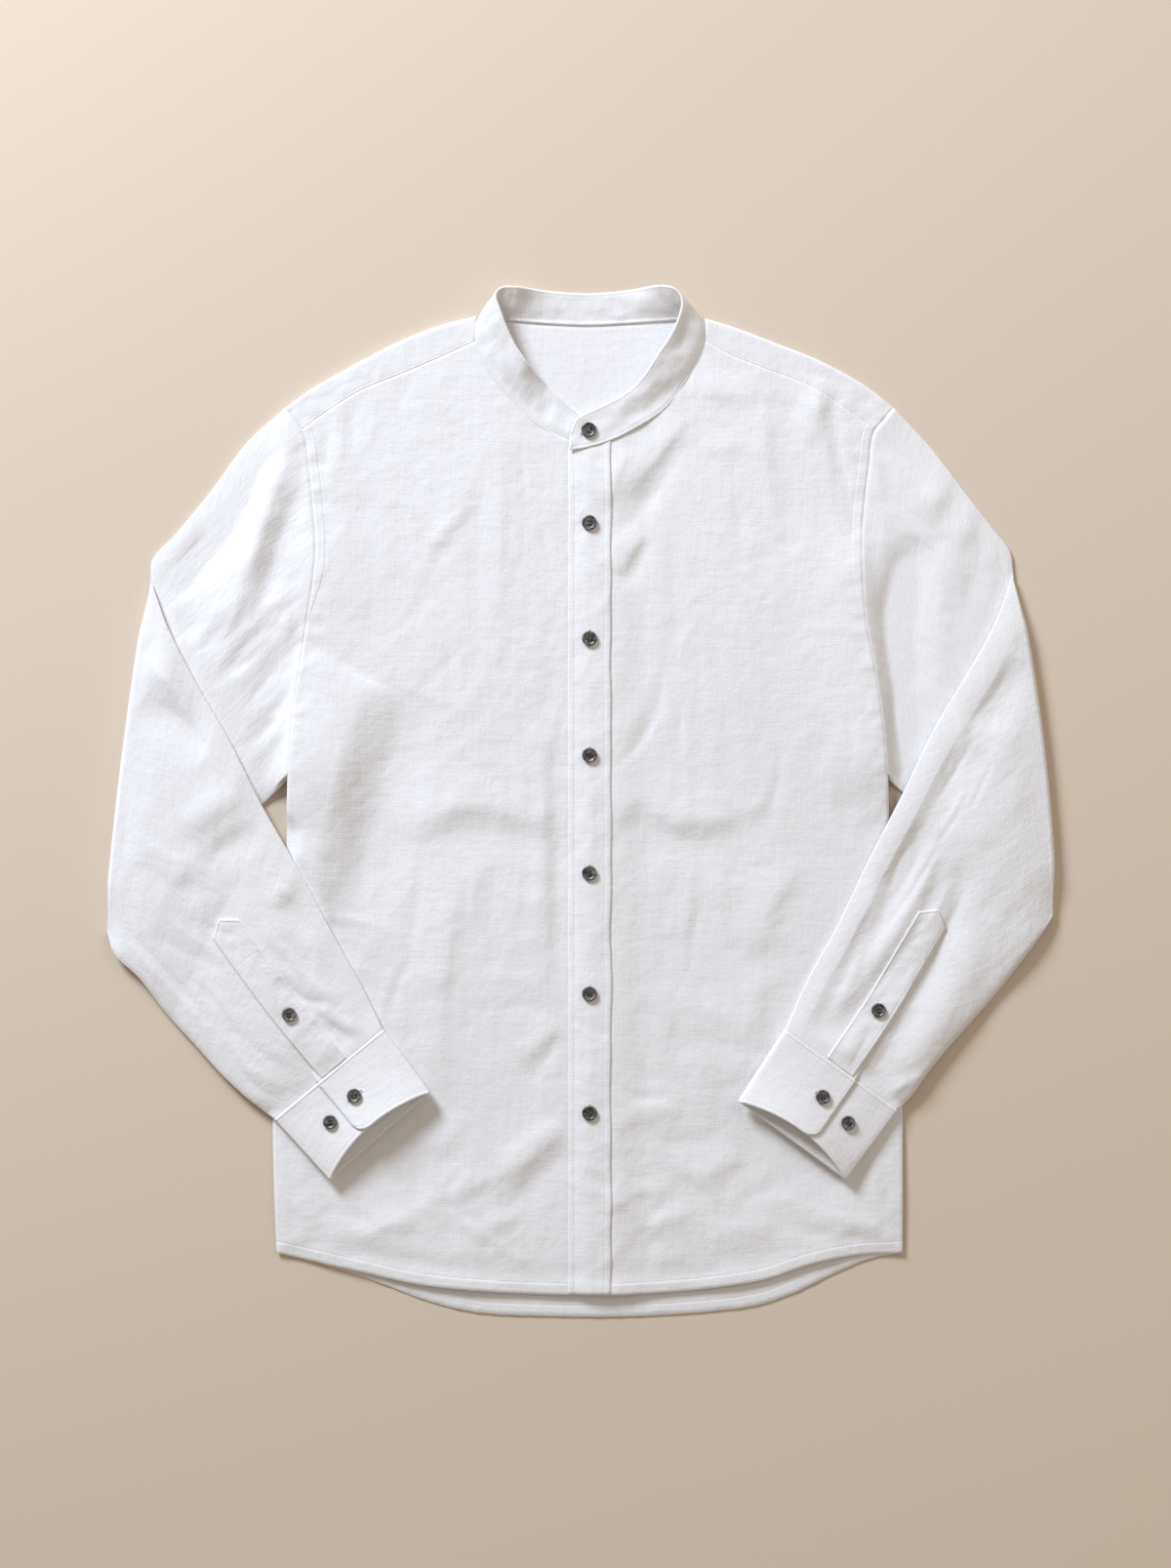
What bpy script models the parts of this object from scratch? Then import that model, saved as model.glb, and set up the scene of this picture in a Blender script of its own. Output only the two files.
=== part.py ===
"""Mandarin collar shirt with long sleeves, buttoned up and laid flat on its back.

Both sleeves are folded once at the elbow: the forearms lie over the upper sleeves, and the cuffs lie
on the lower fronts. Each cut piece is its own wall of cloth, 0.3 mm from its neighbours at the seams.
Left and right are the wearer's, so the right side is at -X. Tables are in millimetres: x runs out
from the centre front, y runs up the body, z rises from the surface that the shirt lies on.
"""
import math

import bmesh
import bpy
import numpy as np
from mathutils import Vector

# ---------------------------------------------------------------- driving dimensions, mm
MM = 0.001
CLOTH = 1.2               # wall of a single layer of linen, with its fuzz and small waves
BAND = 1.6                # wall of the collar and the cuffs, which are double and interfaced
GAP = 0.3                 # between pieces that are sewn or lie on each other
NECK_GAP = 0.7            # between the collar's curved seam and the straight facets round it
LOW = CLOTH / 2           # middle of the layer that lies on the surface
TOP = LOW + CLOTH + GAP   # middle of a layer that lies on that one
LOFT = 1.2                # air under the fronts
CHEST_LOFT = 1.5          # more of it over each side of the chest
CHEST = (105.0, 110.0)    # middle of that, out from the centre and up
CHEST_REACH = (70.0, 130.0)
HEM_FALL = 20.0           # width over which the fronts come down to the back at their free edges
CENTRE_X = 6.95           # centre front, from the middle of the laid-out shirt
CENTRE_Y = 1.7

BACK_YOKE_SEAM_Y = 284.0
PLACKET_LEFT_X = -16.0    # free edge of the front placket
PLACKET_RIGHT_X = 17.0    # its stitched edge
PLACKET_FOOT_Y = -393.5
OVER_FRONT_X = 5.0        # left front's raw edge, inside the placket
UNDER_FRONT_X = 13.5      # right front's edge, under the placket
LAP = 1.9                 # height of the left front over the right one
LAP_REACH = (20.0, 48.0)  # where the left front starts and ends coming down from that height

ELBOW_EDGE = 2.5          # radius of a sleeve's edges at the elbow
ELBOW_TURN = 1.5          # radius that the sleeve's inner layer turns round at the elbow
ELBOW_TURN_STEPS = 4
SLEEVE_PUFF = 2.2         # air in the upper sleeve below the shoulder
FOREARM_PUFF = 2.0        # air in the forearm
FOREARM_FALL = 38.0       # width over which the forearm comes down beside what it lies on
CUFF_EDGE = 2.3           # radius of the cuffs' inner edge
CUFF_FOOT = 5.7           # middle of a cuff's lower layer, over the front
CUFF_LAP = 2.2            # height of a cuff's over end above its under end
CUFF_UNDER_EDGE = 1.2     # radius of the cuffs' outer edge, by the under end
CUFF_BOW = (1.5, 5.5)     # how far its upper layer bows up: at the seam, and more at the mouth
CUFF_PULL = 11.0          # how far the mouth's upper edge draws back, as it bows up
CUFF_CORNER = 12.0        # radius of the over end's corner
CUFF_SEAM = 0.005         # share of a cuff's depth that is left free beside the sleeve
PLACKET_WIDTH = 25.0      # sleeve placket
PLACKET_TIP = 9.5         # length of its pointed end
PLACKET_FOOT = 0.992      # how far along the forearm it ends, just before the cuff's seam
SLIT_ABOVE_TIP = 0.12     # how much further along than the placket's tip the slit starts
SEAM_SHORT = 0.015        # share of a sleeve's last cell that is left free before the cuff
ELBOW_BOW = 4.0           # how far the elbow's fold bows outward between its ends
ELBOW_THINNING = 0.35     # share of its reach that the fold loses at its ends
ELBOW_CORNER = 24.0       # length at both ends of that fold over which it thins

FRONT_BUTTON = 12.0
SLEEVE_BUTTON = 11.4
BUTTON_THICKNESS = 2.6
HOLE_RADIUS = 0.85
HOLE_OFFSET = 1.35        # of each hole from the button's middle, both ways

COLLAR_BOW = 0.16         # outward bow of the band between its edges, as a share of its height
COLLAR_CORNER = 11.0      # radius of its over end's corner
COLLAR_STEPS = (44, 4)    # round the neck, up the band

# ---------------------------------------------------------------- tables, mm
# Body: columns y, right side x, left side x. Armholes from shoulder to underarm, then side seams.
ARMHOLES = [
    (313, -242, 243),
    (296, -229, 228),
    (266, -223.5, 223),
    (232, -220, 219),
    (200, -218, 217),
    (172, -220.5, 218),
    (145, -225, 220),
    (113, -229.5, 226),
    (69, -236, 233),
    (17, -239.5, 238),
]
SIDE_SEAMS = [
    (17, -239.5, 238),
    (-62, -242, 241),
    (-155, -247, 246),
    (-257, -252, 250),
    (-307, -251, 250),
    (-361, -249, 250),
]
# Hems: columns x, y.
FRONT_HEM = [
    (-249, -361), (-214, -369), (-178, -377), (-142, -385), (-89, -391), (-30, -394),
    (40, -393.5), (105, -388), (141, -382), (177, -370), (214, -363), (250, -361),
]
BACK_HEM = [
    (-249, -361), (-214, -370), (-185, -379), (-160, -388), (-134, -398), (-96, -408), (-35, -412),
    (51, -411.5), (100, -408), (140, -402), (160, -395), (200, -376), (228, -365), (250, -361),
]
# Shoulders, from neck to armhole: columns fold x, fold y, front yoke seam x, front yoke seam y.
SHOULDERS = {
    "right": [
        (-90, 386, -95, 366),
        (-120, 378, -120, 353),
        (-155, 364, -150, 340),
        (-191, 345, -184, 326),
        (-227, 324, -211, 309),
        (-242, 313, -229, 296),
    ],
    "left": [
        (93, 384, 96, 366),
        (110, 379, 112, 356),
        (145, 366, 142, 344),
        (185, 350, 176, 331),
        (224, 328, 206, 312),
        (243, 313, 228, 296),
    ],
}
# Sleeves, from armhole to elbow and from elbow to cuff:
# columns over-arm edge x, y, underarm edge x, y.
UPPER_SLEEVES = {
    "right": [
        (-242, 313, -239.5, 17),
        (-273, 285, -262, -4),
        (-301, 247, -293, -28),
        (-329, 213, -325, -53),
        (-346, 192, -353, -78),
        (-345, 172, -380, -104),
    ],
    "left": [
        (243, 313, 238, 17),
        (273, 281, 258, 0),
        (299, 247, 285, -22),
        (322, 217, 313, -45),
        (336, 198, 340, -68),
        (335, 178, 366, -95),
    ],
}
FOREARMS = {
    "right": [
        (-345, 172, -380, -104),
        (-334, 136, -375, -123),
        (-313, 93, -358, -142),
        (-287, 48, -336, -171),
        (-262, -2, -314, -195),
        (-228, -62, -294, -217),
        (-202, -111, -276, -234),
        (-183, -145, -262, -245),
        (-164, -183, -250, -254),
    ],
    "left": [
        (335, 178, 366, -95),
        (323, 142, 361, -115),
        (304, 105, 343, -131),
        (277, 60, 324, -153),
        (250, 5, 304, -178),
        (222, -50, 284, -201),
        (198, -100, 268, -221),
        (177, -138, 256, -236),
        (156, -183, 245, -247),
    ],
}
# Cuffs: inner seam end, outer seam end, inner mouth corner, outer mouth corner, each x, y.
CUFFS = {
    "right": ((-164, -183), (-250, -254), (-127, -232), (-206, -301)),
    "left": ((156, -183), (245, -247), (119, -239), (204, -301)),
}
# Collar band from its under end, round the neck, to its over end:
# columns seam x, y, z, top edge x, y, z.
COLLAR = [
    (13, 277.6, 3.0, 12, 302.5, 4.4),
    (-8, 283.2, 3.0, -6, 307.8, 5.6),
    (-27, 290.9, 3.2, -20, 318, 8.4),
    (-46, 303.4, 3.3, -34, 331.5, 11.5),
    (-62, 317.4, 3.3, -46, 344, 15),
    (-78.6, 338.4, 3.3, -58, 360.5, 19),
    (-89.5, 361, 3.3, -66, 377, 22.5),
    (-91, 375, 3.2, -70.5, 389.5, 24),
    (-88, 384, 1.9, -74, 401, 24),
    (-80, 384.6, 0.95, -69, 407.5, 22.5),
    (-60, 382.6, 0.85, -55.5, 408, 19.5),
    (-30, 380.3, 0.85, -28, 405.3, 16.5),
    (0, 379.3, 0.85, 0, 404, 15.5),
    (30, 380.6, 0.85, 28, 406, 16.5),
    (62, 382.8, 0.85, 54.5, 409, 19.5),
    (83, 384.4, 0.95, 68, 406.5, 22.5),
    (90.6, 382, 1.9, 73.5, 398, 24),
    (93.2, 372, 3.2, 72, 385.5, 24),
    (90.5, 357, 3.3, 65.5, 370.7, 22),
    (79.5, 337.5, 3.3, 55.5, 355.5, 19),
    (62.5, 314.5, 3.6, 41.5, 335, 15.5),
    (43.6, 300.8, 5.4, 27, 322.5, 12.5),
    (20, 288.2, 6.6, 8, 312.7, 10),
    (-1, 281.6, 6.7, -7, 305.5, 8.8),
    (-15, 279.6, 6.8, -15.5, 296, 8.2),
]
# Where the pieces round the neck meet the band: its first and last row there.
NECK_ROWS = {"right": (6, 0), "yoke": (9, 15), "left": (18, 22.7), "placket": (22, 24)}
# Largest folds: columns start x, y, end x, y, half width, height.
BODY_FOLDS = [
    (-190, -24, 150, -22, 13, -1.2),
    (-180, 4, -20, 2, 13, 0.6),
    (20, 2, 150, 4, 13, 0.6),
    (-186, 90, -206, -60, 18, -1.0),
    (-160, 80, -176, -50, 14, 0.7),
    (-190, 330, -205, 230, 12, -0.7),
    (185, 325, 205, 190, 12, -0.7),
    (-120, -60, -128, -330, 13, 0.5),
    (145, -60, 140, -330, 13, 0.5),
    (-60, -90, -50, -370, 12, -0.5),
    (70, -90, 60, -370, 12, -0.5),
    (-140, -350, 130, -352, 16, 0.5),
]
SLEEVE_FOLDS = {
    "right": [
        (-234, 290, -300, 140, 12, -1.5),
        (-258, 300, -325, 190, 11, -1.2),
        (-250, 250, -290, 110, 11, 1.2),
        (-230, 180, -285, 90, 10, -0.8),
        (-330, 95, -290, 20, 14, -1.6),
        (-300, -20, -262, -60, 13, -1.5),
        (-232, -95, -190, -170, 9, 1.4),
        (-246, -120, -205, -195, 8, -1.2),
    ],
    "left": [
        (300, 245, 322, 190, 11, -1.4),
        (232, 200, 250, 60, 12, -1.5),
        (262, 230, 290, 110, 14, 1.0),
        (318, 120, 196, -120, 9, 1.8),
        (300, 60, 190, -160, 10, -2.2),
        (290, 0, 215, -150, 9, 1.2),
        (340, 60, 330, -90, 13, -0.8),
        (310, -60, 268, -200, 12, 1.0),
    ],
}
# Middle line of the sleeve placket, from its tip to the cuff: columns along the forearm, across it.
SLEEVE_PLACKETS = {
    "right": [(0.475, 0.520), (0.744, 0.485), (1, 0.438)],
    "left": [(0.506, 0.503), (0.60, 0.511), (0.765, 0.511), (1, 0.477)],
}
CUFF_END = {"right": 0.595, "left": 0.625}   # across a cuff, from its inner edge to the over end
# Cuff buttons, on the over end and the under end: columns across the cuff, down from its seam.
CUFF_BUTTONS = {
    "right": {"over": (0.45, 0.50), "under": (0.71, 0.55)},
    "left": {"over": (0.495, 0.455), "under": (0.76, 0.515)},
}
# Front buttons below the collar, by the height of their centres.
FRONT_BUTTONS_Y = [221, 129, 36, -58, -154, -249]
BUTTON_X = 0.5
SLEEVE_BUTTON_ROW = 7     # its button sits between this row of the sleeve placket and the next

# Rings of a sleeve: how far along the upper sleeve and the forearm each one lies.
UPPER_STEPS = [0, 0.1, 0.25, 0.42, 0.6, 0.8, 1]
FORE_STEPS = [0, 0.07, 0.15, 0.25, 0.36, 0.48, 0.58, 0.68, 0.78, 0.89, 1]
SHOULDER_STEPS = 6
ARM_FRONT_STEPS = 11
ARM_BACK_STEPS = 5
SLIT_COLUMN = {"right": 4, "left": 5}   # a ring's column beside which the sleeve is slit
SIGN = {"right": -1, "left": 1}


# ---------------------------------------------------------------- lines and surfaces
def spline(points, at, even=False):
    """Points of a smooth line through the given ones, at fractions of its length or of its rows."""
    points = np.asarray(points, float)
    steps = np.ones(len(points) - 1) if even else np.linalg.norm(np.diff(points, axis=0), axis=1)
    knots = np.concatenate([[0.0], np.cumsum(steps)])
    knots /= knots[-1]
    slopes = np.gradient(points, knots, axis=0)
    at = np.asarray(at, float)
    i = np.clip(np.searchsorted(knots, at, side="right") - 1, 0, len(knots) - 2)
    step = (knots[i + 1] - knots[i])[..., None]
    u = (at - knots[i])[..., None] / step
    start = (1 + 2 * u) * (1 - u) ** 2 * points[i] + u * (1 - u) ** 2 * step * slopes[i]
    end = u * u * (3 - 2 * u) * points[i + 1] + u * u * (u - 1) * step * slopes[i + 1]
    return start + end


def fraction_at_y(line, y):
    """How far along a falling line a height is reached."""
    at = np.linspace(0, 1, 400)
    return float(np.interp(-y, -spline(line, at)[:, 1], at))


def at_x(line, x):
    """Heights of a hem at the given places across."""
    at = np.linspace(0, 1, 400)
    dense = spline(line, at)
    return np.interp(x, dense[:, 0], dense[:, 1])


def aside(line, distance):
    """A line moved sideways, to the left of its own direction."""
    along = np.gradient(line, axis=0)
    along /= np.linalg.norm(along, axis=1)[:, None]
    return line + distance * np.stack([-along[:, 1], along[:, 0]], axis=1)


def length(line):
    return np.linalg.norm(np.diff(line, axis=0), axis=1).sum()


def patch(bottom, top, outer, inner):
    """A grid that fills four border lines: rows from bottom to top, columns from outer to inner."""
    u = np.linspace(0, 1, len(bottom))[None, :, None]
    v = np.linspace(0, 1, len(outer))[:, None, None]
    ruled = (1 - v) * bottom[None] + v * top[None] + (1 - u) * outer[:, None] + u * inner[:, None]
    corners = (1 - v) * ((1 - u) * bottom[0] + u * bottom[-1]) + v * ((1 - u) * top[0] + u * top[-1])
    return ruled - corners


def smooth(value):
    """0 below 0, 1 above 1, and an even rise between."""
    value = np.clip(value, 0, 1)
    return value * value * (3 - 2 * value)


def distance_to(line, x, y):
    """Shortest distance from each point to a line."""
    best = np.full(np.shape(x), np.inf)
    for (ax, ay), (bx, by) in zip(line[:-1], line[1:]):
        dx, dy = bx - ax, by - ay
        along = np.clip(((x - ax) * dx + (y - ay) * dy) / (dx * dx + dy * dy), 0, 1)
        best = np.minimum(best, np.hypot(x - ax - along * dx, y - ay - along * dy))
    return best


def inside(outline, x, y):
    """Which points lie inside a closed outline."""
    odd = np.zeros(np.shape(x), bool)
    for (ax, ay), (bx, by) in zip(outline, np.roll(outline, -1, axis=0)):
        crosses = (ay > y) != (by > y)
        rise_x = ax + (y - ay) * (bx - ax) / (by - ay if by != ay else 1.0)
        odd ^= crosses & (x < rise_x)
    return odd


def fold_height(folds, x, y):
    """Soft ridges and troughs along straight lines, fading out at both ends."""
    height = np.zeros(np.shape(x))
    for x1, y1, x2, y2, half_width, rise in folds:
        dx, dy = x2 - x1, y2 - y1
        length = math.hypot(dx, dy)
        along = np.clip(((x - x1) * dx + (y - y1) * dy) / length ** 2, 0, 1)
        across = ((x - x1) * dy - (y - y1) * dx) / length
        height += rise * np.sin(np.pi * along) * np.exp(-(across / half_width) ** 2)
    return height


# ---------------------------------------------------------------- the body's lines and heights
def side_table(table, side):
    """One side of a body table, as points."""
    column = 1 if side == "right" else 2
    return [(row[column], row[0]) for row in table]


ARMHOLE = {side: side_table(ARMHOLES, side) for side in SIGN}
SIDE_SEAM = {side: side_table(SIDE_SEAMS, side) for side in SIGN}
FREE_EDGE = np.array(SIDE_SEAM["right"] + FRONT_HEM[1:-1] + SIDE_SEAM["left"][::-1], float)
BODY_OUTLINE = np.array(ARMHOLE["right"] + list(FREE_EDGE[1:-1]) + ARMHOLE["left"][::-1], float)
YOKE_FRACTION = {s: fraction_at_y(ARMHOLE[s], SHOULDERS[s][-1][3]) for s in SIGN}
BACK_FRACTION = {s: fraction_at_y(ARMHOLE[s], BACK_YOKE_SEAM_Y) for s in SIGN}
FRONT_FRACTIONS = {s: np.linspace(YOKE_FRACTION[s], 1, ARM_FRONT_STEPS + 1) for s in SIGN}
BACK_FRACTIONS = {s: np.linspace(BACK_FRACTION[s], 1, ARM_BACK_STEPS + 1) for s in SIGN}
SEAM_SAMPLES = np.linspace(0, 1, 60)


def top_layer(x, y):
    """Middle height of the body's upper layer: soft air under it, down to the back at its edges."""
    across = (np.abs(x) - CHEST[0]) / CHEST_REACH[0]
    up = (y - CHEST[1]) / CHEST_REACH[1]
    loft = LOFT + CHEST_LOFT * np.exp(-across ** 2 - up ** 2)
    fall = smooth(distance_to(FREE_EDGE, x, y) / HEM_FALL)
    return TOP + fall * (loft + fold_height(BODY_FOLDS, x, y))


def lap_height(x):
    """How far the left front is lifted where it runs over the right one."""
    start, end = LAP_REACH
    return LAP * (1 - smooth((x - start) / (end - start)))


def neck_line(piece, count, inward=-NECK_GAP):
    """A piece's edge round the neck, just beside the collar's seam."""
    first, last = NECK_ROWS[piece]
    rows = np.linspace(first, last, count) / (len(COLLAR) - 1)
    seam = spline([row[:2] for row in COLLAR], rows, even=True)
    return aside(seam, -inward if last > first else inward)


# ---------------------------------------------------------------- solids
def finish(name, colour, roughness):
    material = bpy.data.materials.new(name)
    material.use_nodes = True
    shader = material.node_tree.nodes["Principled BSDF"]
    shader.inputs["Base Color"].default_value = (*colour, 1.0)
    shader.inputs["Roughness"].default_value = roughness
    shader.inputs["Metallic"].default_value = 0.0
    material.diffuse_color = (*colour, 1.0)
    return material


def add_object(name, mesh, root):
    piece = bpy.data.objects.new(name, mesh)
    bpy.context.scene.collection.objects.link(piece)
    piece.parent = root
    return piece


def cloth_solid(name, points, wall, material, root, kept=None, ring=False, flat_rows=()):
    """A closed wall of cloth round a grid of middle points.

    kept says which cells of the grid are cloth, ring joins the last column to the first, and the
    cut ends of flat_rows stand upright.
    """
    columns = points.shape[1]
    if kept is None:
        kept = np.ones((len(points) - 1, columns if ring else columns - 1), bool)
    cells = []
    normals = np.zeros_like(points)
    for row, column in zip(*np.nonzero(kept)):
        beside = (column + 1) % columns
        cell = [(row, column), (row, beside), (row + 1, beside), (row + 1, column)]
        a, b, c, d = (points[corner] for corner in cell)
        for corner in cell:
            normals[corner] += np.cross(c - a, d - b)
        cells.append(cell)
    normals /= np.maximum(np.linalg.norm(normals, axis=2, keepdims=True), 1e-9)
    for row in flat_rows:
        normals[row] = (0, 0, np.sign(normals[row][:, 2].mean()))
    mesh = bmesh.new()
    corners = {}
    for side, offset in (("out", wall / 2), ("in", -wall / 2)):
        for corner in {corner for cell in cells for corner in cell}:
            place = (points[corner] + offset * normals[corner]) * MM
            corners[side, corner] = mesh.verts.new(place)
    edges = {(cell[i], cell[(i + 1) % 4]) for cell in cells for i in range(4)}
    for a, b, c, d in cells:
        for first, second, third in ((a, b, c), (a, c, d)):
            mesh.faces.new([corners["out", q] for q in (first, second, third)])
            mesh.faces.new([corners["in", q] for q in (third, second, first)])
    for a, b in edges:
        if (b, a) not in edges:
            mesh.faces.new([corners["out", b], corners["out", a], corners["in", a]])
            mesh.faces.new([corners["out", b], corners["in", a], corners["in", b]])
    bmesh.ops.recalc_face_normals(mesh, faces=mesh.faces[:])
    data = bpy.data.meshes.new(name)
    mesh.to_mesh(data)
    mesh.free()
    data.materials.append(material)
    data.shade_smooth()
    data.set_sharp_from_angle(angle=math.radians(50))
    return add_object(name, data, root)


def with_height(plan, height):
    """A flat grid with its heights put on."""
    return np.dstack([plan, height])


# ---------------------------------------------------------------- body pieces
def build_back(linen, root):
    """The back lies flat on the surface, from its curved hem to the yoke."""
    outer = {}
    for side in SIGN:
        seam = spline(SIDE_SEAM[side], np.linspace(1, 0, 7))
        fractions = BACK_FRACTIONS[side][::-1][1:].copy()
        fractions[-1] += GAP / length(ARMHOLE[side])
        outer[side] = np.vstack([seam, spline(ARMHOLE[side], fractions)])
    columns = 22
    hem_x = np.linspace(outer["right"][0][0], outer["left"][0][0], columns + 1)
    hem = np.stack([hem_x, at_x(BACK_HEM, hem_x)], axis=1)
    hem[0], hem[-1] = outer["right"][0], outer["left"][0]
    top = np.linspace(outer["right"][-1], outer["left"][-1], columns + 1)
    plan = patch(hem, top, outer["right"], outer["left"])
    cloth_solid("back", with_height(plan, np.full(plan.shape[:2], LOW)), CLOTH, linen, root)


def build_front(side, linen, root):
    """A front from the side seam and armhole to the centre, and from the hem to yoke and neck."""
    inner_x = UNDER_FRONT_X if side == "right" else OVER_FRONT_X
    seam = spline(SIDE_SEAM[side], np.linspace(1, 0, 18))
    fractions = FRONT_FRACTIONS[side][::-1][1:].copy()
    fractions[-1] += GAP / length(ARMHOLE[side])
    outer = np.vstack([seam, spline(ARMHOLE[side], fractions)])
    at = np.linspace(0, 1, SHOULDER_STEPS + 1)
    shoulder = aside(spline([row[2:] for row in SHOULDERS[side]][::-1], at), GAP * SIGN[side])
    shoulder[0] = outer[-1]
    top = np.vstack([shoulder, neck_line(side, 9)])
    top[-1][0] = inner_x
    hem_x = np.interp(top[:, 0] * -SIGN[side], [-abs(top[0][0]), inner_x * -SIGN[side]],
                      [-abs(outer[0][0]), inner_x * -SIGN[side]]) * -SIGN[side]
    hem = np.stack([hem_x, at_x(FRONT_HEM, hem_x)], axis=1)
    hem[0] = outer[0]
    inner_y = np.interp(outer[:, 1], [outer[0][1], 17, outer[-1][1]], [hem[-1][1], 17, top[-1][1]])
    inner = np.stack([np.full(len(outer), inner_x), inner_y], axis=1)
    plan = patch(hem, top, outer, inner)
    height = top_layer(plan[..., 0], plan[..., 1])
    if side == "left":
        height = height + lap_height(plan[..., 0])
    cloth_solid(f"front_{side}", with_height(plan, height), CLOTH, linen, root)


def build_yoke(linen, root):
    """One piece over both shoulders: flat below, turned at the shoulder, down to the front seams."""
    neck_steps, shoulder_steps, turn = 8, SHOULDER_STEPS, np.radians([-90, -45, 0, 45, 90])
    fold, seam = {}, {}
    for side in SIGN:
        rows = SHOULDERS[side]
        at = np.linspace(0, 1, shoulder_steps + 1)
        fold[side] = spline([row[:2] for row in rows], at)
        seam[side] = spline([row[2:] for row in rows], at)
    silhouette = np.vstack([fold["right"][::-1], neck_line("yoke", neck_steps - 1, NECK_GAP), fold["left"]])
    radius = (top_layer(silhouette[:, 0], silhouette[:, 1]) - LOW) / 2
    inward = np.vstack([seam["right"][::-1] - fold["right"][::-1],
                        np.tile([0.0, -1.0], (neck_steps - 1, 1)),
                        seam["left"] - fold["left"]])
    inward /= np.linalg.norm(inward, axis=1)[:, None]
    axis = silhouette + inward * radius[:, None]
    is_neck = np.zeros(len(silhouette), bool)
    is_neck[shoulder_steps + 1:shoulder_steps + neck_steps] = True
    edge = np.where(is_neck[:, None], silhouette, axis)

    below = []
    ends = [spline(ARMHOLE[side], np.linspace(BACK_FRACTION[side], 0, 3)) for side in ("right", "left")]
    seam_line = np.linspace(ends[0][0], ends[1][0], len(edge))
    for share in (0, 0.5):
        row = seam_line + share * (edge - seam_line)
        if share:
            row[0], row[-1] = ends[0][1], ends[1][1]
        below.append(np.column_stack([row, np.full(len(row), LOW)]))
    turned = []
    for angle in turn:
        place = axis - inward * (radius * math.cos(angle))[:, None]
        place = np.where(is_neck[:, None], silhouette, place)
        turned.append(np.column_stack([place, LOW + radius * (1 + math.sin(angle))]))
    turned[0][is_neck, 2] = LOW
    above = []
    front_seam = np.vstack([seam["right"][::-1], np.zeros((neck_steps - 1, 2)), seam["left"]])
    for share in (0.5, 1):
        place = axis + share * (front_seam - axis)
        above.append(np.column_stack([place, top_layer(place[:, 0], place[:, 1])]))
    points = np.array(below + turned + above)
    kept = np.ones((len(points) - 1, len(edge) - 1), bool)
    kept[len(below):, shoulder_steps:shoulder_steps + neck_steps] = False
    cloth_solid("yoke", points, CLOTH, linen, root, kept=kept)


def placket_height(x, y):
    """Middle height of the front placket, which lies on the left front."""
    return top_layer(x, y) + LAP + CLOTH + GAP


def build_front_placket(linen, root):
    """The strip that covers the left front's edge, from the hem to the collar."""
    x = np.linspace(PLACKET_LEFT_X, PLACKET_RIGHT_X, 4)
    neck = neck_line("placket", 9)[::-1]
    head = np.interp(x, neck[:, 0], neck[:, 1])
    share = np.linspace(0, 1, 33)[:, None]
    y = PLACKET_FOOT_Y + share * (head[None] - PLACKET_FOOT_Y)
    plan = np.dstack([np.broadcast_to(x, y.shape), y])
    cloth_solid("front_placket", with_height(plan, placket_height(plan[..., 0], y)), CLOTH, linen, root)


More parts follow.
